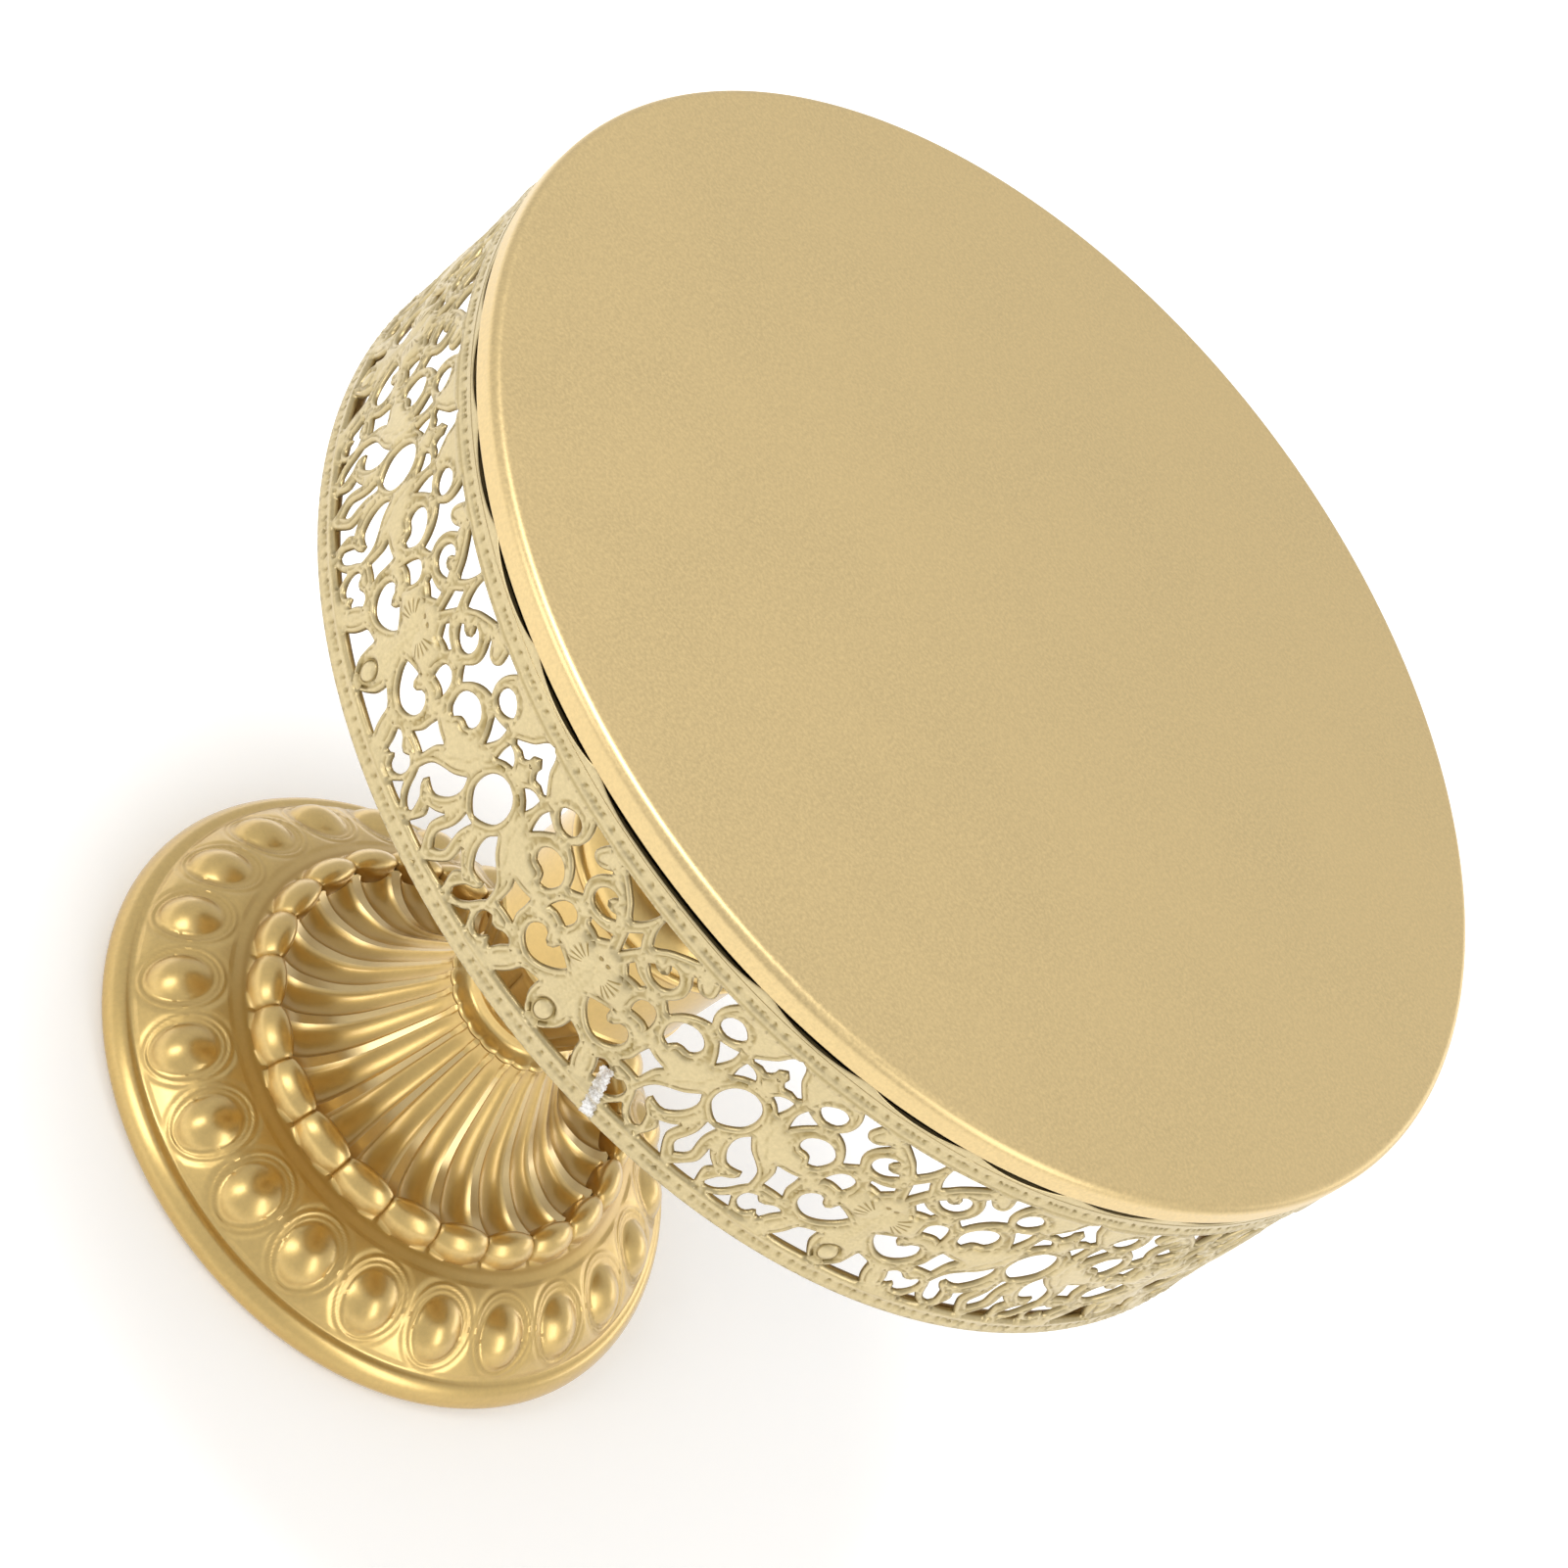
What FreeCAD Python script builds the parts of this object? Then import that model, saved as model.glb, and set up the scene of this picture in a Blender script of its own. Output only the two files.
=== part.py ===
"""Pedestal cake stand: a flat round tray with a pierced lace band, on a turned stem and an embossed foot.

Millimetres, +Z up, origin on the table under the centre of the foot, -Y towards the front.
"""
import FreeCAD, Part
import math
import os

os.makedirs("parts", exist_ok=True)

V = FreeCAD.Vector
UP = V(0, 0, 1)
ORIGIN = V(0, 0, 0)

# Driving sizes
TOTAL_HEIGHT = 212.0
TRAY_RADIUS = 125.0
TRAY_SHEET = 1.2
TRAY_EDGE_RADIUS = 1.5
SKIRT_BOTTOM = 206.4

BAND_RADIUS = 124.5
BAND_SHEET = 1.2
BAND_TOP = 205.3
BAND_BOTTOM = 155.3
BAND_REPEATS = 11
FLOWER_AXIS = 1.7
TACK_COUNT = 32
TACK_MISSING = 0
TACK_START = 0.4

TACK_LENGTH = 6.0

HOOP_WIRE = 1.3
HOOP_HEIGHT = 157.6

TAPE_SHEET = 0.3
TAPE_WIDTH = 2.6
TAPE_LENGTH = 12.6
TAPE_GAP = 0.05
TAPE_LEAN = 20.0
TAPE_ANGLE = 9.75
TAPE_MIDDLE = 162.2

FOOT_RADIUS = 75.1
PAD_HEIGHT = 0.8
PAD_COUNT = 6
PAD_RING = 70.4
PAD_RADIUS = 2.2
LOBES = 23
LOBE_PHASE = -1.3
DOME_RADIUS = 7.3
DOME_RING = 61.4
DOME_HEIGHT = 10.3
BEAD_RADIUS = 5.4
BEAD_RING = 46.6
BEAD_HEIGHT = 23.6

LEDGE_TOP = 20.5
LEDGE_SHEET = 1.6
LEDGE_HOLE = 39.5
FOOT_PLATE_RADIUS = 43.0
FOOT_PLATE_SHEET = 1.6

COLLAR_BOTTOM = 49.0
CALYX_BOTTOM = 53.5
DRUM_BOTTOM = 80.0
SHOULDER_BOTTOM = 104.0
NECK_RING_BOTTOM = 124.0
CUP_BOTTOM = 129.0
WALL = 1.8
FLOOR = 5.0
RIB_ANGLE = 7.0
FILLET_ANGLE = 4.4
DROP_COUNT = 23
DROP_RADIUS = 1.1
DROP_RING = 16.2

BACKING_RADIUS = 46.0
BACKING_SHEET = 2.0
BOSS_RADIUS = 8.0
BOSS_LENGTH = 12.0

ROD_RADIUS = 3.0
ROD_HOLE = 3.3
THREAD_CLEARANCE = 0.05
ROD_BOTTOM = 8.5
WASHER_RADIUS = 9.0
WASHER_SHEET = 1.6
NUT_FLATS = 10.0
NUT_HEIGHT = 5.0
NUT_SIDES = 6
ROD_TOP_GAP = 1.0


# Shape helpers
def line(a, b):
    """A straight edge between two (radius, height) points."""
    return Part.LineSegment(V(a[0], 0, a[1]), V(b[0], 0, b[1])).toShape()


def arc(a, middle, b):
    """An arc through three (radius, height) points."""
    return Part.Arc(V(a[0], 0, a[1]), V(middle[0], 0, middle[1]), V(b[0], 0, b[1])).toShape()


def curve(points):
    """A smooth curve through (radius, height) points."""
    spline = Part.BSplineCurve()
    spline.interpolate([V(r, 0, z) for r, z in points])
    return spline.toShape()


def chain(points):
    """Straight edges through (radius, height) points."""
    return [line(a, b) for a, b in zip(points, points[1:])]


def turned(edges, angle=360.0, start=0.0):
    """A solid swept by a closed profile of edges turning about the vertical axis."""
    solid = Part.Face(Part.Wire(edges)).revolve(ORIGIN, UP, angle)
    solid.rotate(ORIGIN, UP, start)
    return solid


def disc(radius, bottom, top, hole=0.0):
    """A flat disc or washer."""
    solid = Part.makeCylinder(radius, top - bottom, V(0, 0, bottom))
    if hole > 0:
        solid = solid.cut(Part.makeCylinder(hole, top - bottom, V(0, 0, bottom)))
    return solid


def around(solid, count, start=0.0):
    """Copies of a solid spaced evenly about the vertical axis."""
    copies = []
    for index in range(count):
        copy = solid.copy()
        copy.rotate(ORIGIN, UP, start + 360.0 * index / count)
        copies.append(copy)
    return copies


def at_angle(solid, degrees):
    """A copy of a solid made on the +X side, turned so that 0 degrees is the front and + is to the right."""
    copy = solid.copy()
    copy.rotate(ORIGIN, UP, degrees - 90.0)
    return copy


def export(name, shape):
    """Writes one sub-part."""
    shape.exportStep("parts/" + name + ".step")


# Tray: a spun sheet pan turned upside down, with a rounded edge and a short skirt
def make_tray():
    inner = TRAY_RADIUS - TRAY_SHEET
    top = TOTAL_HEIGHT
    under = top - TRAY_SHEET
    edge = TRAY_EDGE_RADIUS
    diagonal = edge * (1 - math.sqrt(0.5))
    inner_edge = edge - TRAY_SHEET
    inner_diagonal = inner_edge * (1 - math.sqrt(0.5))
    edges = [
        line((0, top), (TRAY_RADIUS - edge, top)),
        arc((TRAY_RADIUS - edge, top), (TRAY_RADIUS - diagonal, top - diagonal), (TRAY_RADIUS, top - edge)),
        line((TRAY_RADIUS, top - edge), (TRAY_RADIUS, SKIRT_BOTTOM)),
        line((TRAY_RADIUS, SKIRT_BOTTOM), (inner, SKIRT_BOTTOM)),
        line((inner, SKIRT_BOTTOM), (inner, under - inner_edge)),
        arc((inner, under - inner_edge), (inner - inner_diagonal, under - inner_diagonal),
            (inner - inner_edge, under)),
        line((inner - inner_edge, under), (0, under)),
        line((0, under), (0, top)),
    ]
    return turned(edges)


def make_tray_backing():
    under = TOTAL_HEIGHT - TRAY_SHEET
    return disc(BACKING_RADIUS, under - BACKING_SHEET, under)


def make_tray_boss():
    top = TOTAL_HEIGHT - TRAY_SHEET - BACKING_SHEET
    return disc(BOSS_RADIUS, top - BOSS_LENGTH, top, ROD_RADIUS + THREAD_CLEARANCE)


# Lace band: half of one repeat, as (distance along the band from the flower's axis, height above the
# band's lower edge). The half is mirrored about the flower, and the repeat is turned round the band.
SHARP_OPENINGS = [
    [(0.8, 44.3), (10.4, 44.3), (7.5, 42.2), (5.5, 40.9), (2.9, 38.2), (1.4, 41.0)],
    [(3.0, 32.9), (4.8, 31.8), (7.6, 31.3), (7.0, 30.0), (4.2, 29.6), (2.7, 31.5)],
    [(15.7, 44.3), (20.4, 44.3), (19.0, 41.5), (18.8, 39.0), (20.0, 36.3), (17.5, 35.3), (14.2, 31.0),
     (12.0, 32.6), (13.3, 35.5), (12.7, 38.5), (11.6, 41.0), (13.6, 39.8), (15.5, 39.5), (16.6, 41.2)],
    [(23.4, 35.2), (27.2, 36.3), (27.5, 34.0), (26.4, 30.4)],
    [(17.0, 22.0), (21.6, 21.4), (20.4, 18.2), (20.1, 15.2), (15.7, 15.3), (16.8, 18.5)],
    [(4.6, 12.5), (8.2, 11.3), (9.2, 8.3), (10.6, 5.5), (1.8, 5.5), (3.8, 8.7)],
    [(13.0, 11.9), (14.2, 12.6), (17.6, 11.2), (19.2, 12.4), (20.9, 10.0), (20.0, 7.4), (18.0, 6.7),
     (16.6, 8.6), (15.0, 7.6), (13.9, 10.1)],
    [(22.1, 8.4), (24.9, 5.5), (20.6, 5.5)],
    [(32.1, 14.3), (28.9, 11.5), (29.8, 9.0), (28.8, 5.4), (34.0, 5.3), (32.0, 8.3)],
    [(33.6, 33.6), (32.2, 35.3), (30.0, 35.7), (29.8, 33.2), (30.3, 31.3), (32.1, 32.3)],
]
ROUND_OPENINGS = [
    [(8.0, 39.0), (10.3, 38.1), (11.0, 36.4), (10.6, 34.5), (9.0, 33.5), (7.0, 33.8), (4.8, 35.4),
     (7.3, 35.9), (8.4, 37.0)],
    [(15.7, 29.3), (16.5, 31.8), (19.3, 33.3), (22.0, 32.4), (22.9, 30.0), (21.6, 27.9), (19.6, 27.9),
     (18.2, 25.6), (16.5, 26.4)],
    [(8.9, 27.0), (9.3, 28.8), (11.3, 29.5), (13.1, 28.4), (13.9, 25.1), (11.0, 25.4), (9.1, 25.0)],
    [(3.1, 19.6), (7.2, 21.2), (8.5, 19.1), (10.2, 20.8), (12.2, 21.2), (13.6, 18.9), (12.6, 16.0),
     (9.4, 14.4), (5.5, 16.2)],
    [(29.4, 23.0), (30.6, 19.5), (28.8, 14.8), (25.0, 14.2), (24.3, 13.0), (26.2, 11.0), (27.4, 7.8),
     (25.2, 7.1), (22.7, 11.0), (22.0, 14.0), (23.2, 17.3), (27.0, 20.3)],
]
RING_OPENING = (23.4, 39.2, 2.6)
DIAMOND_HALF = [(0.0, 38.5), (1.8, 35.8), (0.0, 32.0)]
# Openings on the oval's axis, as (distance from that axis, height)
ARCH_HALF = [(0.0, 44.5), (1.3, 44.0), (2.6, 41.2), (5.8, 37.3), (2.2, 37.0), (1.2, 39.0), (0.0, 40.4)]
KEYHOLE_HALF = [(0.0, 19.1), (1.1, 19.1), (0.7, 15.5), (1.6, 10.7), (0.0, 8.0)]
OVAL_HEIGHT = 25.9
OVAL_HALF_WIDTH = 4.3
OVAL_HALF_HEIGHT = 5.4


def cutter_from_wire(wire, along):
    """A radial cutter from an outline drawn in the YZ plane, at a distance along the band."""
    depth = 4 * BAND_SHEET
    wire.translate(V(BAND_RADIUS - depth, 0, BAND_BOTTOM))
    cutter = Part.Face(wire).extrude(V(2 * depth, 0, 0))
    cutter.rotate(ORIGIN, UP, math.degrees(along / BAND_RADIUS))
    return cutter


def outline_cutter(points, smooth):
    """A cutter from an outline of (distance along, height) points."""
    along = sum(p[0] for p in points) / len(points)
    corners = [V(0, s - along, h) for s, h in points]
    if smooth:
        spline = Part.BSplineCurve()
        spline.interpolate(corners, PeriodicFlag=True)
        wire = Part.Wire([spline.toShape()])
    else:
        wire = Part.makePolygon(corners + corners[:1])
    return cutter_from_wire(wire, along)


def mirrored_half(half, along):
    """A whole outline from its right half, on an axis at a distance along the band."""
    right = [(along + s, h) for s, h in half]
    left = [(along - s, h) for s, h in reversed(half) if s > 0]
    return right + left


def make_lace_band():
    half_repeat = math.pi * BAND_RADIUS / BAND_REPEATS
    half_angle = 180.0 / BAND_REPEATS
    height = BAND_TOP - BAND_BOTTOM
    base = V(0, 0, BAND_BOTTOM)
    sector = Part.makeCylinder(BAND_RADIUS, height, base, UP, 2 * half_angle)
    sector = sector.cut(Part.makeCylinder(BAND_RADIUS - BAND_SHEET, height, base))
    sector.rotate(ORIGIN, UP, -half_angle)
    cutters = [outline_cutter(mirrored_half(DIAMOND_HALF, 0.0), False)]
    for side in (1, -1):
        for points in SHARP_OPENINGS:
            cutters.append(outline_cutter([(side * s, h) for s, h in points], False))
        for points in ROUND_OPENINGS:
            cutters.append(outline_cutter([(side * s, h) for s, h in points], True))
        along, up, radius = RING_OPENING
        ring = Part.makeCircle(radius, V(0, 0, up), V(1, 0, 0))
        cutters.append(cutter_from_wire(Part.Wire([ring]), side * along))
        axis = side * half_repeat
        cutters.append(outline_cutter(mirrored_half(ARCH_HALF, axis), False))
        cutters.append(outline_cutter(mirrored_half(KEYHOLE_HALF, axis), False))
        oval = Part.Ellipse(V(0, 0, OVAL_HEIGHT + OVAL_HALF_HEIGHT), V(0, OVAL_HALF_WIDTH, OVAL_HEIGHT),
                            V(0, 0, OVAL_HEIGHT)).toShape()
        cutters.append(cutter_from_wire(Part.Wire([oval]), axis))
    sector = sector.cut(cutters)
    sectors = [at_angle(copy, FLOWER_AXIS) for copy in around(sector, BAND_REPEATS)]
    return sectors[0].multiFuse(sectors[1:]).removeSplitter()


def make_band_tacks():
    """Small weld tacks that join the band's top edge to the skirt; one has been missed at the front."""
    width = 0.8 * BAND_SHEET
    middle = BAND_RADIUS - BAND_SHEET / 2
    block = Part.makeBox(width, TACK_LENGTH, SKIRT_BOTTOM - BAND_TOP)
    block.translate(V(middle - width / 2, -TACK_LENGTH / 2, BAND_TOP))
    step = 360.0 / TACK_COUNT
    places = [TACK_START + step * index for index in range(TACK_COUNT) if index != TACK_MISSING]
    return Part.makeCompound([at_angle(block, place) for place in places])


def make_band_hoop():
    middle = BAND_RADIUS - BAND_SHEET - HOOP_WIRE
    return Part.makeTorus(middle, HOOP_WIRE, V(0, 0, HOOP_HEIGHT))


def make_seam_tape():
    """A small leaning strip of clear tape over the band's seam, at the lower border."""
    strip = Part.makeBox(TAPE_SHEET, TAPE_WIDTH, TAPE_LENGTH)
    strip.translate(V(BAND_RADIUS + TAPE_GAP, -TAPE_WIDTH / 2, -TAPE_LENGTH / 2))
    strip.rotate(V(BAND_RADIUS, 0, 0), V(1, 0, 0), TAPE_LEAN)
    strip.translate(V(0, 0, TAPE_MIDDLE))
    return at_angle(strip, TAPE_ANGLE)


# Foot: an embossed shell with a rolled rim, a shoulder of domes and a ring of beads
def foot_outer():
    """The foot's outer line, from the rolled rim up to the ledge that carries the fluted stem."""
    return [
        line((73.2, PAD_HEIGHT), (73.6, PAD_HEIGHT)),
        arc((73.6, PAD_HEIGHT), (FOOT_RADIUS, 2.8), (74.2, 5.2)),
        arc((74.2, 5.2), (73.2, 6.8), (72.0, 7.1)),
        line((72.0, 7.1), (70.9, 7.4)),
        arc((70.9, 7.4), (63.5, 15.3), (54.4, 20.0)),
        line((54.4, 20.0), (51.0, 21.6)),
        arc((51.0, 21.6), (50.3, 25.6), (48.0, 27.9)),
        arc((48.0, 27.9), (45.9, 28.2), (44.2, 27.0)),
        line((44.2, 27.0), (43.4, 24.6)),
        line((43.4, 24.6), (43.4, LEDGE_TOP)),
        line((43.4, LEDGE_TOP), (LEDGE_HOLE, LEDGE_TOP)),
    ]


def foot_inner():
    """The foot's inner line, from the ledge back down to the rim's turned-in flange."""
    under = LEDGE_TOP - LEDGE_SHEET
    flange_top = PAD_HEIGHT + LEDGE_SHEET
    return [
        line((LEDGE_HOLE, LEDGE_TOP), (LEDGE_HOLE, under)),
        line((LEDGE_HOLE, under), (51.5, under)),
        arc((51.5, under), (61.8, 14.3), (69.2, 6.8)),
        line((69.2, 6.8), (71.9, 4.6)),
        line((71.9, 4.6), (71.9, flange_top)),
        line((71.9, flange_top), (67.6, flange_top)),
        line((67.6, flange_top), (67.6, PAD_HEIGHT)),
        line((67.6, PAD_HEIGHT), (73.2, PAD_HEIGHT)),
    ]


def make_foot_shell():
    """The turned shell with a dome and a bead on each lobe; each is cut back from the shell's hollow."""
    shell = turned(foot_outer() + foot_inner())
    dome = Part.makeSphere(DOME_RADIUS, V(DOME_RING, 0, DOME_HEIGHT))
    bead = Part.makeSphere(BEAD_RADIUS, V(BEAD_RING, 0, BEAD_HEIGHT))
    hollow = turned([
        line((0, 0), (69.9, 0)),
        line((69.9, 0), (69.9, 7.4)),
        arc((69.9, 7.4), (62.6, 14.8), (53.0, 19.4)),
        line((53.0, 19.4), (49.0, 22.0)),
        line((49.0, 22.0), (46.5, 25.6)),
        line((46.5, 25.6), (43.4, 25.6)),
        line((43.4, 25.6), (43.4, 60.0)),
        line((43.4, 60.0), (0, 60.0)),
        line((0, 60.0), (0, 0)),
    ])
    lobes = []
    for lump in (dome, bead):
        trimmed = lump.cut(hollow)
        lobes += [at_angle(copy, LOBE_PHASE) for copy in around(trimmed, LOBES)]
    return shell.multiFuse(lobes)


def make_foot_pads():
    pad = Part.makeCylinder(PAD_RADIUS, PAD_HEIGHT, V(PAD_RING, 0, 0))
    return Part.makeCompound(around(pad, PAD_COUNT, 180.0 / PAD_COUNT))


# Stem, from the foot upwards
FLUTE_LINE = [(43.0, 22.4), (38.0, 23.1), (34.8, 24.1), (30.5, 26.2), (27.5, 28.9), (24.9, 32.1),
              (22.0, 36.3), (18.1, 42.4), (14.6, COLLAR_BOTTOM)]


def make_fluted_stem():
    roof = COLLAR_BOTTOM - FLOOR
    inner = [(13.8, roof), (16.3, 41.3), (20.2, 35.2), (23.2, 30.8), (26.0, 27.4), (29.6, 24.7), (34.2, 22.4),
             (40.0, LEDGE_TOP)]
    edges = [line((43.0, LEDGE_TOP), FLUTE_LINE[0]), curve(FLUTE_LINE)]
    edges += chain([FLUTE_LINE[-1], (ROD_HOLE, COLLAR_BOTTOM), (ROD_HOLE, roof), inner[0]])
    edges += [curve(inner), line(inner[-1], (43.0, LEDGE_TOP))]
    body = turned(edges)
    raised = [(r + 0.35, z + 0.35) for r, z in FLUTE_LINE[1:-1]]
    low = [(r - 0.4, z - 0.4) for r, z in FLUTE_LINE[1:-1]]
    rib_edges = [curve(raised), line(raised[-1], low[-1]), curve(low[::-1]), line(low[0], raised[0])]
    rib = turned(rib_edges, FILLET_ANGLE, -FILLET_ANGLE / 2)
    ribs = [at_angle(copy, LOBE_PHASE + 180.0 / LOBES) for copy in around(rib, LOBES)]
    return body.multiFuse(ribs)


def make_petal_collar():
    edges = [
        line((ROD_HOLE, COLLAR_BOTTOM), (15.6, COLLAR_BOTTOM)),
        arc((15.6, COLLAR_BOTTOM), (16.1, COLLAR_BOTTOM + 0.7), (15.4, COLLAR_BOTTOM + 1.3)),
        arc((15.4, COLLAR_BOTTOM + 1.3), (13.4, COLLAR_BOTTOM + 2.4), (13.4, CALYX_BOTTOM)),
        line((13.4, CALYX_BOTTOM), (ROD_HOLE, CALYX_BOTTOM)),
        line((ROD_HOLE, CALYX_BOTTOM), (ROD_HOLE, COLLAR_BOTTOM)),
    ]
    drop = Part.makeSphere(DROP_RADIUS, V(DROP_RING, 0, COLLAR_BOTTOM - DROP_RADIUS / 2))
    drops = [at_angle(copy, LOBE_PHASE) for copy in around(drop, DROP_COUNT)]
    return turned(edges).multiFuse(drops)


def make_ribbed_calyx():
    outer = [(13.4, CALYX_BOTTOM), (14.7, 55.4), (17.4, 62.0), (21.2, 70.2), (25.2, DRUM_BOTTOM)]
    floor = CALYX_BOTTOM + 4.5
    inner = [(23.2, DRUM_BOTTOM), (19.2, 70.8), (15.4, 62.6), (12.6, floor)]
    edges = [curve(outer), line(outer[-1], inner[0]), curve(inner)]
    edges += chain([inner[-1], (ROD_HOLE, floor), (ROD_HOLE, CALYX_BOTTOM), outer[0]])
    body = turned(edges)
    raised = [(r + 0.5, z) for r, z in outer[1:]]
    low = [(r - 0.4, z) for r, z in outer[1:]]
    rib_edges = [curve(raised), line(raised[-1], low[-1]), curve(low[::-1]), line(low[0], raised[0])]
    rib = turned(rib_edges, RIB_ANGLE, -RIB_ANGLE / 2)
    ribs = [at_angle(copy, LOBE_PHASE) for copy in around(rib, LOBES)]
    return body.multiFuse(ribs)


def make_stem_drum():
    low = 25.2
    high = 26.0
    return turned(chain([(low, DRUM_BOTTOM), (high, SHOULDER_BOTTOM), (high - WALL, SHOULDER_BOTTOM),
                         (low - WALL, DRUM_BOTTOM), (low, DRUM_BOTTOM)]))


def make_stem_shoulder():
    outer = [(26.0, SHOULDER_BOTTOM), (25.6, 108.5), (22.6, 113.6), (16.8, 118.4), (12.0, NECK_RING_BOTTOM)]
    roof = NECK_RING_BOTTOM - 4.0
    inner = [(9.6, roof), (15.4, 116.9), (21.0, 112.4), (23.8, 108.2), (26.0 - WALL, SHOULDER_BOTTOM)]
    edges = [curve(outer)]
    edges += chain([outer[-1], (ROD_HOLE, NECK_RING_BOTTOM), (ROD_HOLE, roof), inner[0]])
    edges += [curve(inner), line(inner[-1], outer[0])]
    return turned(edges)


def make_neck_ring():
    middle = (NECK_RING_BOTTOM + CUP_BOTTOM) / 2
    edges = [
        line((ROD_HOLE, NECK_RING_BOTTOM), (12.6, NECK_RING_BOTTOM)),
        arc((12.6, NECK_RING_BOTTOM), (15.1, middle), (12.6, CUP_BOTTOM)),
        line((12.6, CUP_BOTTOM), (ROD_HOLE, CUP_BOTTOM)),
        line((ROD_HOLE, CUP_BOTTOM), (ROD_HOLE, NECK_RING_BOTTOM)),
    ]
    return turned(edges)


def make_flared_cup():
    top = TOTAL_HEIGHT - TRAY_SHEET - BACKING_SHEET
    floor = CUP_BOTTOM + FLOOR
    outer = [(11.6, CUP_BOTTOM), (10.9, 137.0), (12.2, 156.0), (17.6, 178.0), (28.5, 197.0), (40.0, top)]
    inner = [(37.4, top), (26.6, 198.2), (15.8, 179.0), (10.3, 157.0), (9.0, floor)]
    edges = [curve(outer), line(outer[-1], inner[0]), curve(inner)]
    edges += chain([inner[-1], (ROD_HOLE, floor), (ROD_HOLE, CUP_BOTTOM), outer[0]])
    return turned(edges)


# Tie rod and its fittings
def make_foot_plate():
    top = LEDGE_TOP - LEDGE_SHEET
    return disc(FOOT_PLATE_RADIUS, top - FOOT_PLATE_SHEET, top, ROD_HOLE)


def make_tie_rod():
    top = TOTAL_HEIGHT - TRAY_SHEET - BACKING_SHEET - ROD_TOP_GAP
    return disc(ROD_RADIUS, ROD_BOTTOM, top)


def make_rod_washer():
    top = LEDGE_TOP - LEDGE_SHEET - FOOT_PLATE_SHEET
    return disc(WASHER_RADIUS, top - WASHER_SHEET, top, ROD_HOLE)


def make_rod_nut():
    top = LEDGE_TOP - LEDGE_SHEET - FOOT_PLATE_SHEET - WASHER_SHEET
    corner = V(NUT_FLATS / math.sqrt(3), 0, top - NUT_HEIGHT)
    turns = [FreeCAD.Rotation(UP, 360.0 * index / NUT_SIDES) for index in range(NUT_SIDES + 1)]
    corners = [turn.multVec(corner) for turn in turns]
    block = Part.Face(Part.makePolygon(corners)).extrude(V(0, 0, NUT_HEIGHT))
    return block.cut(disc(ROD_RADIUS + THREAD_CLEARANCE, top - NUT_HEIGHT, top))


SHAPES = {
    "tray": make_tray(),
    "tray_backing_plate": make_tray_backing(),
    "tray_threaded_boss": make_tray_boss(),
    "lace_band": make_lace_band(),
    "band_tacks": make_band_tacks(),
    "band_hoop": make_band_hoop(),
    "seam_tape": make_seam_tape(),
    "flared_cup": make_flared_cup(),
    "neck_ring": make_neck_ring(),
    "stem_shoulder": make_stem_shoulder(),
    "stem_drum": make_stem_drum(),
    "ribbed_calyx": make_ribbed_calyx(),
    "petal_collar": make_petal_collar(),
    "fluted_stem": make_fluted_stem(),
    "foot_shell": make_foot_shell(),
    "foot_plate": make_foot_plate(),
    "foot_pads": make_foot_pads(),
    "tie_rod": make_tie_rod(),
    "rod_washer": make_rod_washer(),
    "rod_nut": make_rod_nut(),
}
for name, shape in SHAPES.items():
    export(name, shape)
    print(name, "solids", len(shape.Solids), "valid", shape.isValid(), "cm3", round(shape.Volume / 1000, 2))
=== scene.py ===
import math

import bmesh
import bpy
import numpy as np
from mathutils import Matrix, Vector
from mathutils.geometry import delaunay_2d_cdt


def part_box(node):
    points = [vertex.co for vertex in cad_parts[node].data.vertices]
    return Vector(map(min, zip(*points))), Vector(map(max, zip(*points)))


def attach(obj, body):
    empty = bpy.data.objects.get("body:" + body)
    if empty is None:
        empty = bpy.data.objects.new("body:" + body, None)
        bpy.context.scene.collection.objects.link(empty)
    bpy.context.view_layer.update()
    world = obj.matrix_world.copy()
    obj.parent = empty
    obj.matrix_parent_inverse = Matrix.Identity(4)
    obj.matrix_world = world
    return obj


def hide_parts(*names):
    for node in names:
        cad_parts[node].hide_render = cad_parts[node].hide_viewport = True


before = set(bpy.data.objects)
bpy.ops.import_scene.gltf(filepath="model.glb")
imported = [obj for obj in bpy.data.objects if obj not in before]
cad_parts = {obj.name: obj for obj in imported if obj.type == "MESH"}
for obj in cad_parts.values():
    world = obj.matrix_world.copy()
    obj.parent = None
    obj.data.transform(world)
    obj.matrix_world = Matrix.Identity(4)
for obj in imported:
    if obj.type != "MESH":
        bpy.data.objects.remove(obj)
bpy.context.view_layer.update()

bl_info = {
    "name": "Lace Cake Stand",
    "version": (1, 0, 0),
    "blender": (4, 5, 0),
    "location": "View3D > Sidebar > Cake Stand",
    "description": "Builds a gilt cake stand with a pierced lace band, a fluted stem and an embossed foot",
    "category": "Object",
}

MM = 0.001
DOUBLED = 0.004 * MM      # points closer than this are one
WELD = 0.006 * MM         # the same, where two sectors meet
BORE = 3.4                # hole for the tie rod: radius, in millimetres
BAND_SHEET = 1.2          # thickness of the band's sheet, in millimetres


def level(node, side):
    """The lowest (0) or highest (1) height of a CAD node, in millimetres."""
    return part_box(node)[side][2] / MM


def reach(node):
    """The largest radius of a round CAD node, in millimetres."""
    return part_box(node)[1][0] / MM


# ---------------------------------------------------------------------------------------------
# Settings
# ---------------------------------------------------------------------------------------------
def number(name, description, value, low=None, high=None, **kind):
    """A number property, held between low and high where they are given."""
    limits = {key: limit for key, limit in (("min", low), ("max", high)) if limit is not None}
    return bpy.props.FloatProperty(name=name, description=description, default=value, **limits, **kind)


def count_of(name, description, value):
    """A whole-number property for things that go round the stand."""
    return bpy.props.IntProperty(name=name, description=description, default=value, min=3)


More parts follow.
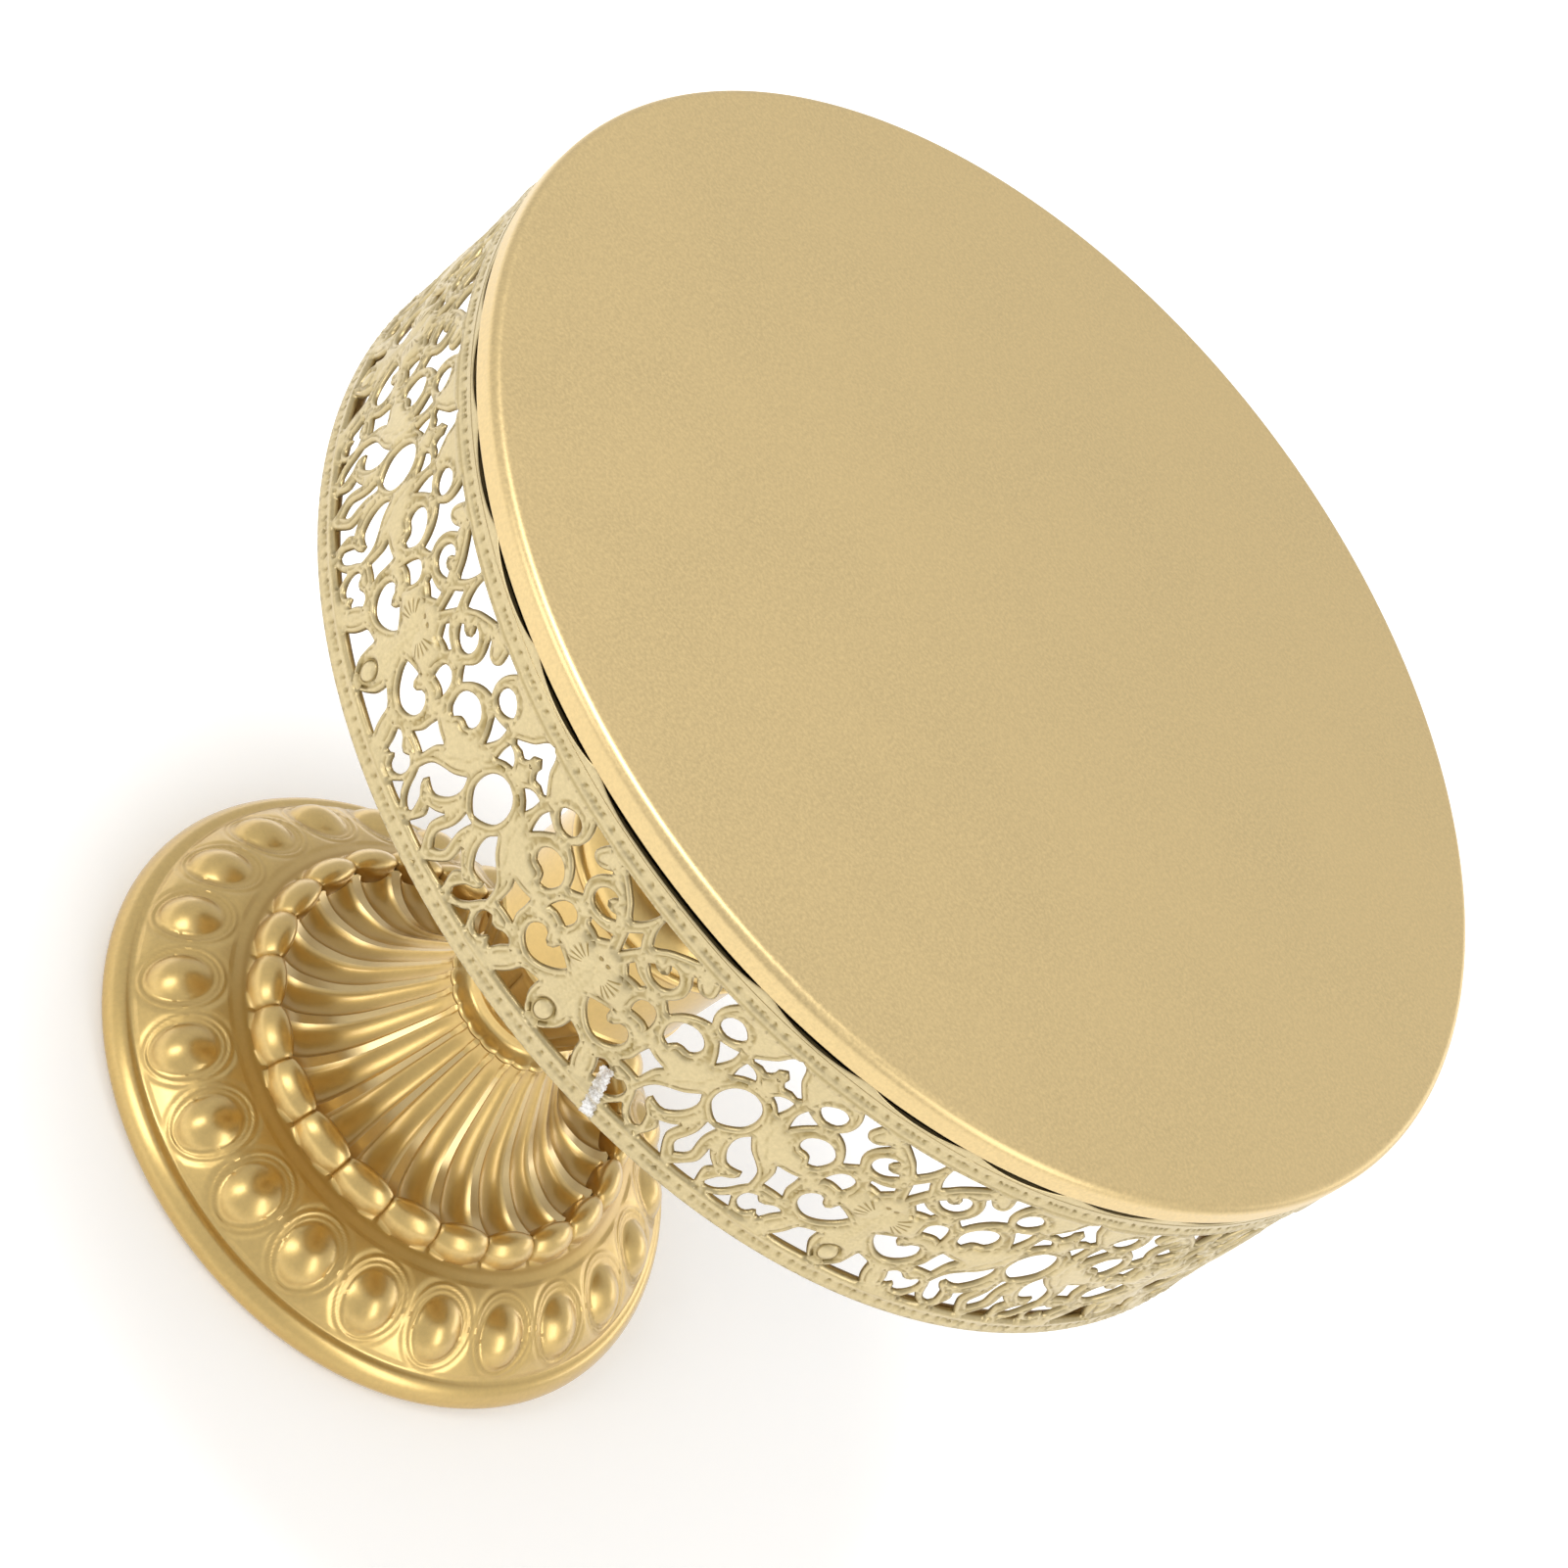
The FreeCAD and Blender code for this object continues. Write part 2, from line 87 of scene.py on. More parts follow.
def angle(name, description, degrees):
    """An angle property, from degrees."""
    return number(name, description, math.radians(degrees), subtype="ANGLE", unit="ROTATION")


def distance(name, description, metres, *limits):
    """A distance property, in metres."""
    return number(name, description, metres, *limits, subtype="DISTANCE", unit="LENGTH")


def paint(name, description, colour):
    """A colour property."""
    return bpy.props.FloatVectorProperty(name=name, description=description, subtype="COLOR", size=3,
                                         default=colour, min=0.0, max=1.0)


class TraySettings(bpy.types.PropertyGroup):
    """The spun tray."""
    edge_radius: number("Edge radius", "Rounding between the tray's top and its skirt, in millimetres", 2.0,
                        0.5, 3.0)
    sheet: number("Sheet", "Thickness of the spun sheet, in millimetres", 1.2, 0.5, 3.0)
    colour: paint("Colour", "Base colour of the satin paint", (0.66, 0.50, 0.245))
    grain: distance("Grain", "Size of the metallic flake in the paint", 0.0007, 0.0001, 0.01)


class BandSettings(bpy.types.PropertyGroup):
    """The pierced lace band."""
    repeats: count_of("Repeats", "How many times the lace pattern goes round the band", 11)
    flower_angle: angle("Flower angle", "Turn of the nearest flower from the front", 1.7)
    stroke_height: number("Stroke height", "How far the scrolls stand out of the sheet, in millimetres",
                          0.75, 0.1, 2.0)
    grid: number("Mesh step", "Distance between the mesh points of the embossing, in millimetres", 0.66,
                 0.3, 3.0)
    colour: paint("Colour", "Base colour of the band's paint", (0.555, 0.455, 0.255))


class FootSettings(bpy.types.PropertyGroup):
    """The embossed foot and the stem."""
    lobes: count_of("Lobes", "How many domes, beads and flutes go round the foot", 23)
    lobe_angle: angle("Lobe angle", "Turn of the nearest dome from the front", -1.3)
    dome_height: number("Dome height", "How far a dome stands out of the shoulder, in millimetres", 2.3,
                        0.0, 4.0)
    flute_depth: number("Flute depth", "Depth of the stem's flutes, in millimetres", 1.45, 0.0, 3.0)
    colour: paint("Colour", "Base colour of the warm gilding", (0.665, 0.465, 0.165))
    # The recess colour is painted shade: the tone the gilding is darkened to in grooves and creases.
    painted_shade_colour: paint("Recess colour", "Colour of the gilding in the grooves", (0.44, 0.27, 0.065))


class StageSettings(bpy.types.PropertyGroup):
    """Camera, floor and lights."""
    elevation: angle("Elevation", "Camera height above the horizon", 37.49)
    roll: angle("Roll", "Turn of the camera about its own line of sight", -52.76)
    distance: distance("Distance", "Camera distance from the top of the lace band", 0.8585)
    offset_right: distance("Offset right", "How far the stand sits to the right of the picture's centre",
                           0.04125)
    offset_up: distance("Offset up", "How far the stand sits above the picture's centre", 0.02849)
    lens: number("Lens", "Focal length, in millimetres on a 36 mm sensor", 101.28, 10.0)
    floor_colour: paint("Floor colour", "Colour of the plain floor", (0.93, 0.93, 0.93))


# ---------------------------------------------------------------------------------------------
# Outlines and meshes
# ---------------------------------------------------------------------------------------------
def smooth_run(knots, step):
    """Points along a Catmull-Rom curve through the knots, about step apart; two knots give a straight run."""
    knots = np.array(knots, float)
    if len(knots) == 2:
        pieces = max(1, int(round(np.linalg.norm(knots[1] - knots[0]) / step)))
        return [knots[0] + (knots[1] - knots[0]) * k / pieces for k in range(pieces + 1)]
    ends = [2 * knots[0] - knots[1]] + list(knots) + [2 * knots[-1] - knots[-2]]
    points = [knots[0]]
    for a, b, c, d in zip(ends, ends[1:], ends[2:], ends[3:]):
        pieces = max(1, int(round(np.linalg.norm(c - b) / step)))
        for k in range(1, pieces + 1):
            t = k / pieces
            points.append(0.5 * (2 * b + (c - a) * t + (2 * a - 5 * b + 4 * c - d) * t * t
                                 + (3 * b - a - 3 * c + d) * t ** 3))
    return points


def smooth_line(knots, step):
    """An open line through (x, y) knots; a knot written (x, y, 1) is a sharp corner."""
    points = []
    run = [knots[0][:2]]
    for knot in knots[1:]:
        run.append(knot[:2])
        if len(knot) > 2 or knot is knots[-1]:
            points += smooth_run(run, step)[(1 if points else 0):]
            run = [knot[:2]]
    return np.array(points)


def smooth_loop(knots, step):
    """A closed outline through (x, y) knots; a knot written (x, y, 1) is a sharp corner."""
    corners = [k for k, knot in enumerate(knots) if len(knot) > 2]
    if corners:
        first = corners[0]
        ring = list(knots[first:]) + list(knots[:first]) + [knots[first]]
        return smooth_line(ring, step)[:-1]
    count = len(knots)
    wrapped = [knots[(k - 2) % count] for k in range(count + 5)]
    full = np.array(smooth_run(wrapped, step))
    start = np.argmin(np.linalg.norm(full - np.array(knots[0]), axis=1))
    after = [k for k in range(len(full)) if np.allclose(full[k], knots[0]) and k > start]
    return full[start:after[0]]


def new_object(name, vertices, faces, recess=None):
    """A mesh object in metres from millimetre vertices, with an optional recess value at each one, which the
    paints turn into painted shade (and, below zero, a painted sheen).
    """
    mesh = bpy.data.meshes.new(name)
    mesh.from_pydata([tuple(v) for v in np.asarray(vertices) * MM], [], faces)
    mesh.validate()
    mesh.polygons.foreach_set("use_smooth", [True] * len(mesh.polygons))
    if recess is not None:
        # recess: how much painted shade the paints put at each point
        layer = mesh.attributes.new("recess", "FLOAT", "POINT")
        layer.data.foreach_set("value", np.asarray(recess, dtype=np.float32))
    thing = bpy.data.objects.new(name, mesh)
    bpy.context.scene.collection.objects.link(thing)
    return thing


def finish_mesh(thing, sharp_degrees):
    """Welds a mesh's doubled points, turns its faces outwards and marks its hard edges."""
    mesh = thing.data
    work = bmesh.new()
    work.from_mesh(mesh)
    bmesh.ops.remove_doubles(work, verts=work.verts, dist=DOUBLED)
    bmesh.ops.dissolve_degenerate(work, dist=DOUBLED / 2, edges=work.edges)
    bmesh.ops.delete(work, geom=[edge for edge in work.edges if not edge.link_faces], context="EDGES")
    bmesh.ops.recalc_face_normals(work, faces=work.faces)
    if work.calc_volume(signed=True) < 0:
        bmesh.ops.reverse_faces(work, faces=work.faces)
    work.to_mesh(mesh)
    work.free()
    mesh.set_sharp_from_angle(angle=math.radians(sharp_degrees))


def ring_faces(rings, count):
    """Faces that join closed rings of count points each."""
    return [(ring * count + k, ring * count + n, (ring + 1) * count + n, (ring + 1) * count + k)
            for ring in range(rings - 1) for k in range(count) for n in [(k + 1) % count]]


def turned_grid(profile, angles, shift=None):
    """Vertices and faces of a closed (radius, height) profile swept over the angles, in radians.

    shift(angle) gives each profile point's offset along the profile's outward side.
    """
    profile = np.asarray(profile, float)
    count = len(profile)
    ahead = np.roll(profile, -1, axis=0) - np.roll(profile, 1, axis=0)
    normal = np.stack([ahead[:, 1], -ahead[:, 0]], 1)
    normal /= np.linalg.norm(normal, axis=1)[:, None] + 1e-9
    area = 0.5 * np.sum(profile[:, 0] * np.roll(profile[:, 1], -1) - profile[:, 1]
                        * np.roll(profile[:, 0], -1))
    normal *= 1.0 if area > 0 else -1.0
    rings = []
    for angle in angles:
        offset = shift(angle) if shift else np.zeros(count)
        line = profile + normal * offset[:, None]
        rings.append(np.stack([line[:, 0] * math.sin(angle), -line[:, 0] * math.cos(angle), line[:, 1]], 1))
    return np.concatenate(rings), ring_faces(len(rings), count)


def lathe(name, profile, steps):
    """A closed turned piece. A profile that starts and ends on the axis has its poles closed by welding."""
    angles = np.linspace(0, 2 * math.pi, steps + 1)
    vertices, faces = turned_grid(profile, angles)
    return new_object(name, vertices, faces)


# ---------------------------------------------------------------------------------------------
# Geometry Nodes: a sector repeated about the vertical axis
# ---------------------------------------------------------------------------------------------
def repeat_tree():
    """The node tree that turns copies of a sector round the vertical axis and welds them into one mesh."""
    name = "turned repeats"
    if name in bpy.data.node_groups:
        return bpy.data.node_groups[name]
    tree = bpy.data.node_groups.new(name, "GeometryNodeTree")
    for given, kind in (("Geometry", "Geometry"), ("Count", "Int"), ("Start Angle", "Float"),
                        ("Weld Distance", "Float"), ("Material", "Material")):
        tree.interface.new_socket(given, in_out="INPUT", socket_type="NodeSocket" + kind)
    tree.interface.new_socket("Geometry", in_out="OUTPUT", socket_type="NodeSocketGeometry")
    kinds = {"given": "NodeGroupInput", "points": "GeometryNodeMeshLine", "index": "GeometryNodeInputIndex",
             "step": "ShaderNodeMath", "angle": "ShaderNodeMath", "turned": "ShaderNodeCombineXYZ",
             "placed": "GeometryNodeInstanceOnPoints", "real": "GeometryNodeRealizeInstances",
             "merged": "GeometryNodeMergeByDistance", "coated": "GeometryNodeSetMaterial",
             "result": "NodeGroupOutput"}
    nodes = {key: tree.nodes.new(kind) for key, kind in kinds.items()}
    nodes["points"].inputs["Offset"].default_value = (0.0, 0.0, 0.0)
    nodes["step"].operation = "DIVIDE"
    nodes["step"].inputs[0].default_value = 2 * math.pi
    nodes["angle"].operation = "MULTIPLY_ADD"
    for source, output, target, socket in (
            ("given", "Count", "points", "Count"), ("given", "Count", "step", 1),
            ("index", 0, "angle", 0), ("step", 0, "angle", 1), ("given", "Start Angle", "angle", 2),
            ("angle", 0, "turned", "Z"), ("points", "Mesh", "placed", "Points"),
            ("given", "Geometry", "placed", "Instance"), ("turned", "Vector", "placed", "Rotation"),
            ("placed", "Instances", "real", "Geometry"), ("real", "Geometry", "merged", "Geometry"),
            ("given", "Weld Distance", "merged", "Distance"), ("merged", "Geometry", "coated", "Geometry"),
            ("given", "Material", "coated", "Material"), ("coated", "Geometry", "result", "Geometry")):
        tree.links.new(nodes[source].outputs[output], nodes[target].inputs[socket])
    return tree


def repeated(name, sector, count, start, material):
    """One plain mesh object made of count turned copies of a sector object; the sector is removed."""
    tree = repeat_tree()
    modifier = sector.modifiers.new("repeats", "NODES")
    modifier.node_group = tree
    values = {"Count": count, "Start Angle": start, "Weld Distance": WELD, "Material": material}
    for item in tree.interface.items_tree:
        if item.item_type == "SOCKET" and item.in_out == "INPUT" and item.name in values:
            modifier[item.identifier] = values[item.name]
    bpy.context.view_layer.update()
    graph = bpy.context.evaluated_depsgraph_get()
    mesh = bpy.data.meshes.new_from_object(sector.evaluated_get(graph))
    sector.modifiers.remove(modifier)
    bpy.data.objects.remove(sector)
    mesh.name = name
    mesh.materials.clear()
    mesh.materials.append(material)
    thing = bpy.data.objects.new(name, mesh)
    bpy.context.scene.collection.objects.link(thing)
    return thing


def settle(thing, slot, *nodes):
    """Rides a finished piece on the stand, in place of its CAD nodes."""
    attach(thing, "root")
    if nodes:
        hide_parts(*nodes)


# ---------------------------------------------------------------------------------------------
# Materials
# ---------------------------------------------------------------------------------------------
class Value:
    """A number socket that takes part in Python arithmetic."""

    def __init__(self, shader, socket):
        self.shader = shader
        self.socket = socket

    def maths(self, operation, other):
        other = other.socket if isinstance(other, Value) else other
        return self.shader.node("ShaderNodeMath", {"operation": operation}, {0: self.socket, 1: other})

    def __add__(self, other):
        return self.maths("ADD", other)

    def __mul__(self, other):
        return self.maths("MULTIPLY", other)

    def __sub__(self, other):
        return self.maths("SUBTRACT", other)

    def __rsub__(self, other):
        return self.shader.node("ShaderNodeMath", {"operation": "SUBTRACT"}, {0: other, 1: self.socket})

    def __pow__(self, other):
        return self.maths("POWER", other)

    __radd__ = __add__
    __rmul__ = __mul__


class Shader:
    """A material's node tree, built from one node method."""

    def __init__(self, name):
        self.material = bpy.data.materials.new(name)
        self.material.use_nodes = True
        self.tree = self.material.node_tree
        self.tree.nodes.clear()

    def node(self, kind, settings=None, sockets=None, out=0):
        """Adds a node, fills its settings and sockets, and gives one output as a Value."""
        made = self.tree.nodes.new(kind)
        for key, value in (settings or {}).items():
            setattr(made, key, value)
        for key, value in (sockets or {}).items():
            target = made.inputs[key]
            if isinstance(value, Value):
                value = value.socket
            if isinstance(value, bpy.types.NodeSocket):
                self.tree.links.new(value, target)
            else:
                target.default_value = value
        return Value(self, made.outputs[out])

    def place(self):
        """Object coordinates."""
        return self.node("ShaderNodeTexCoord", None, None, "Object")

    def noise(self, scale, detail=2.0, roughness=0.5, stretch=None):
        """Noise in object space, from 0 to 1."""
        where = self.place()
        if stretch:
            where = self.node("ShaderNodeMapping", None, {"Vector": where, "Scale": stretch})
        return self.node("ShaderNodeTexNoise", None,
                         {"Vector": where, "Scale": scale, "Detail": detail, "Roughness": roughness})

    def attribute(self, name):
        """A point attribute's number."""
        return self.node("ShaderNodeAttribute", {"attribute_name": name}, None, "Fac")

    def limit(self, value, low, high):
        """value mapped from low..high to 0..1, and held there."""
        return self.node("ShaderNodeMapRange", None, {"Value": value, "From Min": low, "From Max": high})

    def blend(self, factor, a, b):
        """A colour between a and b."""
        def full(colour):
            return colour if isinstance(colour, Value) else (*colour[:3], 1.0)
        return self.node("ShaderNodeMix", {"data_type": "RGBA"}, {0: factor, 6: full(a), 7: full(b)}, 2)

    def bump(self, height, strength, distance, below=None):
        """A bumped normal."""
        sockets = {"Height": height, "Strength": strength, "Distance": distance}
        if below is not None:
            sockets["Normal"] = below
        return self.node("ShaderNodeBump", None, sockets)

    def principled(self, sockets):
        """The surface shader, joined to the output."""
        surface = self.node("ShaderNodeBsdfPrincipled", None, sockets)
        self.output(surface)
        return self.material

    def output(self, surface):
        """Joins a surface to the material's output."""
        self.tree.links.new(surface.socket, self.tree.nodes.new("ShaderNodeOutputMaterial").inputs["Surface"])


def scaled(colour, factor):
    """A colour made lighter or darker."""
    return tuple(min(1.0, channel * factor) for channel in colour[:3])


def satin_paint(name, colour, flake):
    """Champagne gold paint with a fine metallic flake and faint cloudy unevenness."""
    s = Shader(name)
    fine = s.noise(1.0 / flake, 3.0, 0.6)
    cloud = s.noise(28.0, 2.0, 0.5)
    speck = s.limit(fine, 0.35, 0.68)
    tone = s.blend(speck, scaled(colour, 0.90), scaled(colour, 1.07))
    tone = s.blend(s.limit(cloud, 0.3, 0.7) * 0.35, tone, scaled(colour, 0.94))
    roughness = 0.34 + s.limit(cloud, 0.3, 0.7) * 0.05 + speck * 0.07
    grain = s.bump(fine, 0.10, 0.0001)
    return s.principled({"Base Color": tone, "Metallic": 0.85, "Roughness": roughness, "Normal": grain})


def flower_marks(s):
    """A fan of short marks on each petal, two dots by the flower's heart and an oval in the teardrop: a mask
    for fine grooves, bumped in and painted darker as their shade.
    """
    def polar(along, above, squeeze):
        right, up = s.attribute("along") - along, s.attribute("above") - above
        return up.maths("ARCTAN2", right), (right * right * squeeze + up * up) ** 0.5

    turn, away = polar(1.4, 25.2, 1.0)
    fan = s.limit((turn * 19.0).maths("COSINE", 0.0), 0.15, 0.7)
    fan = fan * s.limit(away, 1.5, 1.9) * (1.0 - s.limit(away, 3.9, 4.6))
    fan = fan * s.limit(turn, -0.92, -0.86) * (1.0 - s.limit(turn, 0.86, 0.92))
    dots = 1.0 - s.limit(polar(0.95, 28.0, 1.0)[1], 0.35, 0.6)
    ring = polar(0.0, 9.8, 1.6)[1]
    return fan + dots + s.limit(ring, 2.1, 2.4) * (1.0 - s.limit(ring, 2.5, 2.9))


def lace_paint(name, colour):
    """Pale gold paint on the band, with painted shade: darker in the grooves where shade falls, and nearly
    black where recess is 2, the painted shadow in the channel under the tray.
    """
    s = Shader(name)
    fine = s.noise(1300.0, 3.0, 0.6)
    cloud = s.noise(60.0, 3.0, 0.55)
    recess = s.attribute("recess")
    tone = s.blend(s.limit(fine, 0.35, 0.68), scaled(colour, 0.92), scaled(colour, 1.06))
    tone = s.blend(s.limit(cloud, 0.35, 0.75) * 0.3, tone, scaled(colour, 0.9))
    # painted shade: the grooves and the band's inside darkened towards brown
    tone = s.blend(s.limit(recess, 0.1, 0.9) * 0.9, tone,
                   (colour[0] * 0.46, colour[1] * 0.40, colour[2] * 0.22))
    # painted shadow: nearly black where recess is 2, in the channel behind the band's upper edge
    tone = s.blend(s.limit(recess, 1.1, 1.9) * 0.95, tone, (0.045, 0.028, 0.012))
    # painted shade in the flower's fine grooves, which are also bumped in below
    ticks = flower_marks(s)
    tone = s.blend(ticks * 0.8, tone, (colour[0] * 0.45, colour[1] * 0.38, colour[2] * 0.20))
    roughness = 0.34 + s.limit(cloud, 0.3, 0.7) * 0.08
    grain = s.bump(fine, 0.12, 0.0001, s.bump(1.0 - ticks, 0.6, 0.0003))
    return s.principled({"Base Color": tone, "Metallic": 0.88, "Roughness": roughness, "Normal": grain})


def warm_gilding(name, colour, painted_shade_colour):
    """Semi-gloss warm gold with a soft haze and painted light: amber painted shade in the grooves, and a
    paler painted sheen where recess is negative.
    """
    s = Shader(name)
    fine = s.noise(900.0, 3.0, 0.65)
    haze = s.noise(38.0, 4.0, 0.6)
    recess = s.attribute("recess")
    tone = s.blend(s.limit(fine, 0.3, 0.7), scaled(colour, 0.94), scaled(colour, 1.05))
    tone = s.blend(s.limit(haze, 0.35, 0.75) * 0.25, tone, scaled(colour, 0.86))
    # painted shade: the grooves darkened towards the shade colour
    tone = s.blend(s.limit(recess, 0.0, 1.0) * 0.9, tone, painted_shade_colour)
    # painted sheen: the flat fillets made paler and less saturated, as they catch the light
    tone = s.blend(s.limit(recess, 0.0, -1.0) * 0.7, tone,
                   (colour[0] * 0.94, colour[1] * 1.06, colour[2] * 1.7))
    roughness = 0.30 + s.limit(haze, 0.3, 0.75) * 0.10 + s.limit(recess, 0.0, 1.0) * 0.10
    wave = s.bump(haze, 0.10, 0.0006)
    grain = s.bump(fine, 0.06, 0.00008, wave)
    return s.principled({"Base Color": tone, "Metallic": 1.0, "Roughness": roughness, "Normal": grain,
                         "Coat Weight": 0.7, "Coat Roughness": 0.2})


def plated_steel(name):
    """Zinc-plated steel with fine turning marks."""
    s = Shader(name)
    marks = s.noise(220.0, 4.0, 0.6, (1.0, 1.0, 9.0))
    spangle = s.noise(90.0, 2.0, 0.5)
    tone = s.blend(s.limit(spangle, 0.35, 0.7), (0.55, 0.55, 0.54), (0.70, 0.70, 0.68))
    roughness = 0.28 + s.limit(marks, 0.3, 0.7) * 0.16
    return s.principled({"Base Color": tone, "Metallic": 1.0, "Roughness": roughness,
                         "Normal": s.bump(marks, 0.15, 0.0002)})


def shaded_wire_paint(name):
    """Gold paint on the reinforcing wire, painted dark brown as shade: the wire sits in shadow inside the
    lower border.
    """
    s = Shader(name)
    patch = s.noise(140.0, 3.0, 0.6)
    # painted shade: the wire's gold darkened to brown
    tone = s.blend(s.limit(patch, 0.3, 0.7), (0.20, 0.13, 0.05), (0.34, 0.24, 0.11))
    return s.principled({"Base Color": tone, "Metallic": 0.7, "Roughness": 0.42 + patch * 0.1,
                         "Normal": s.bump(patch, 0.2, 0.0002)})


def pad_rubber(name):
    """Matt black rubber."""
    s = Shader(name)
    dust = s.noise(400.0, 3.0, 0.6)
    tone = s.blend(s.limit(dust, 0.4, 0.8), (0.02, 0.02, 0.02), (0.05, 0.05, 0.05))
    return s.principled({"Base Color": tone, "Roughness": 0.75 + dust * 0.1,
                         "Normal": s.bump(dust, 0.3, 0.0001)})


def clear_tape(name):
    """Cloudy clear tape with trapped air: mostly see-through, with pale wrinkles."""
    s = Shader(name)
    air = s.noise(420.0, 4.0, 0.7)
    wrinkle = s.noise(900.0, 3.0, 0.6)
    cloud = s.limit(air, 0.42, 0.62)
    tone = s.blend(cloud, (0.62, 0.58, 0.52), (0.93, 0.92, 0.90))
    return s.principled({"Base Color": tone, "Roughness": 0.22 + cloud * 0.25, "Alpha": 0.34 + cloud * 0.42,
                         "Coat Weight": 0.6, "Normal": s.bump(wrinkle, 0.7, 0.0004)})


def pale_floor(name, colour):
    """A plain pale floor."""
    s = Shader(name)
    soft = s.noise(3.0, 2.0, 0.5)
    tone = s.blend(s.limit(soft, 0.3, 0.7), scaled(colour, 0.99), colour)
    return s.principled({"Base Color": tone, "Roughness": 0.8, "Emission Color": (1.0, 1.0, 1.0, 1.0),
                         "Emission Strength": 0.18})


def coat(thing, material):
    """Gives an object one material in every slot."""
    mesh = thing.data
    if not mesh.materials:
        mesh.materials.append(material)
    for slot in thing.material_slots:
        slot.material = material


def finish_named(name, make, *details):
    """A material made once and then shared."""
    return bpy.data.materials.get(name) or make(name, *details)


def tray_finish():
    tray = bpy.context.scene.cake_tray
    return finish_named("satin champagne gold", satin_paint, tuple(tray.colour), tray.grain)


def band_finish():
    return finish_named("pale lace gold", lace_paint, tuple(bpy.context.scene.cake_band.colour))


def foot_finish():
    foot = bpy.context.scene.cake_foot
    return finish_named("warm gilding", warm_gilding, tuple(foot.colour), tuple(foot.painted_shade_colour))


# ---------------------------------------------------------------------------------------------
# Tray
# ---------------------------------------------------------------------------------------------
def build_tray(settings):
    """A spun pan with a flat top, a rounded edge, a short skirt and a slightly rolled lower lip."""
    radius = reach("tray")
    top = level("tray", 1)
    foot = level("tray", 0)
    edge = settings.edge_radius
    sheet = settings.sheet
    lip = sheet / 2
    points = [(0.0, top)]
    points += [(radius - edge - gap, top) for gap in (118, 100, 80, 60, 40, 20, 8, 3, 1, 0.3)]
    for k in range(13):
        turn = math.pi / 2 * k / 12
        points.append((radius - edge + edge * math.sin(turn), top - edge + edge * math.cos(turn)))
    points += [(radius, foot + h) for h in (3.4, 2.4, 1.4, 0.9)]
    for k in range(9):
        turn = math.pi * k / 8
        points.append((radius - lip + lip * math.cos(turn), foot + lip - lip * math.sin(turn)))
    inner = radius - sheet
    points += [(inner, foot + h) for h in (1.2, 2.6)]
    points += [(inner, top - sheet - 0.6), (inner - 0.15, top - sheet - 0.2), (inner - 0.6, top - sheet)]
    points += [(inner - gap, top - sheet) for gap in (3, 20, 60, 100)]
    points.append((0.0, top - sheet))
    thing = lathe("tray_pan", points, 288)
    finish_mesh(thing, 40)
    coat(thing, tray_finish())
    settle(thing, "satin_gold", "tray")


# ---------------------------------------------------------------------------------------------
# Lace band
# ---------------------------------------------------------------------------------------------
BAND_HEIGHT = level("lace_band", 1) - level("lace_band", 0)
LOW_BORDER = 5.3
HIGH_BORDER = 44.4
EDGE_DROP = 0.55          # how far the strip's edge lies below the tacks
REPEAT_LENGTH = 71.12
DOTS = 24                 # dots of the border in one repeat

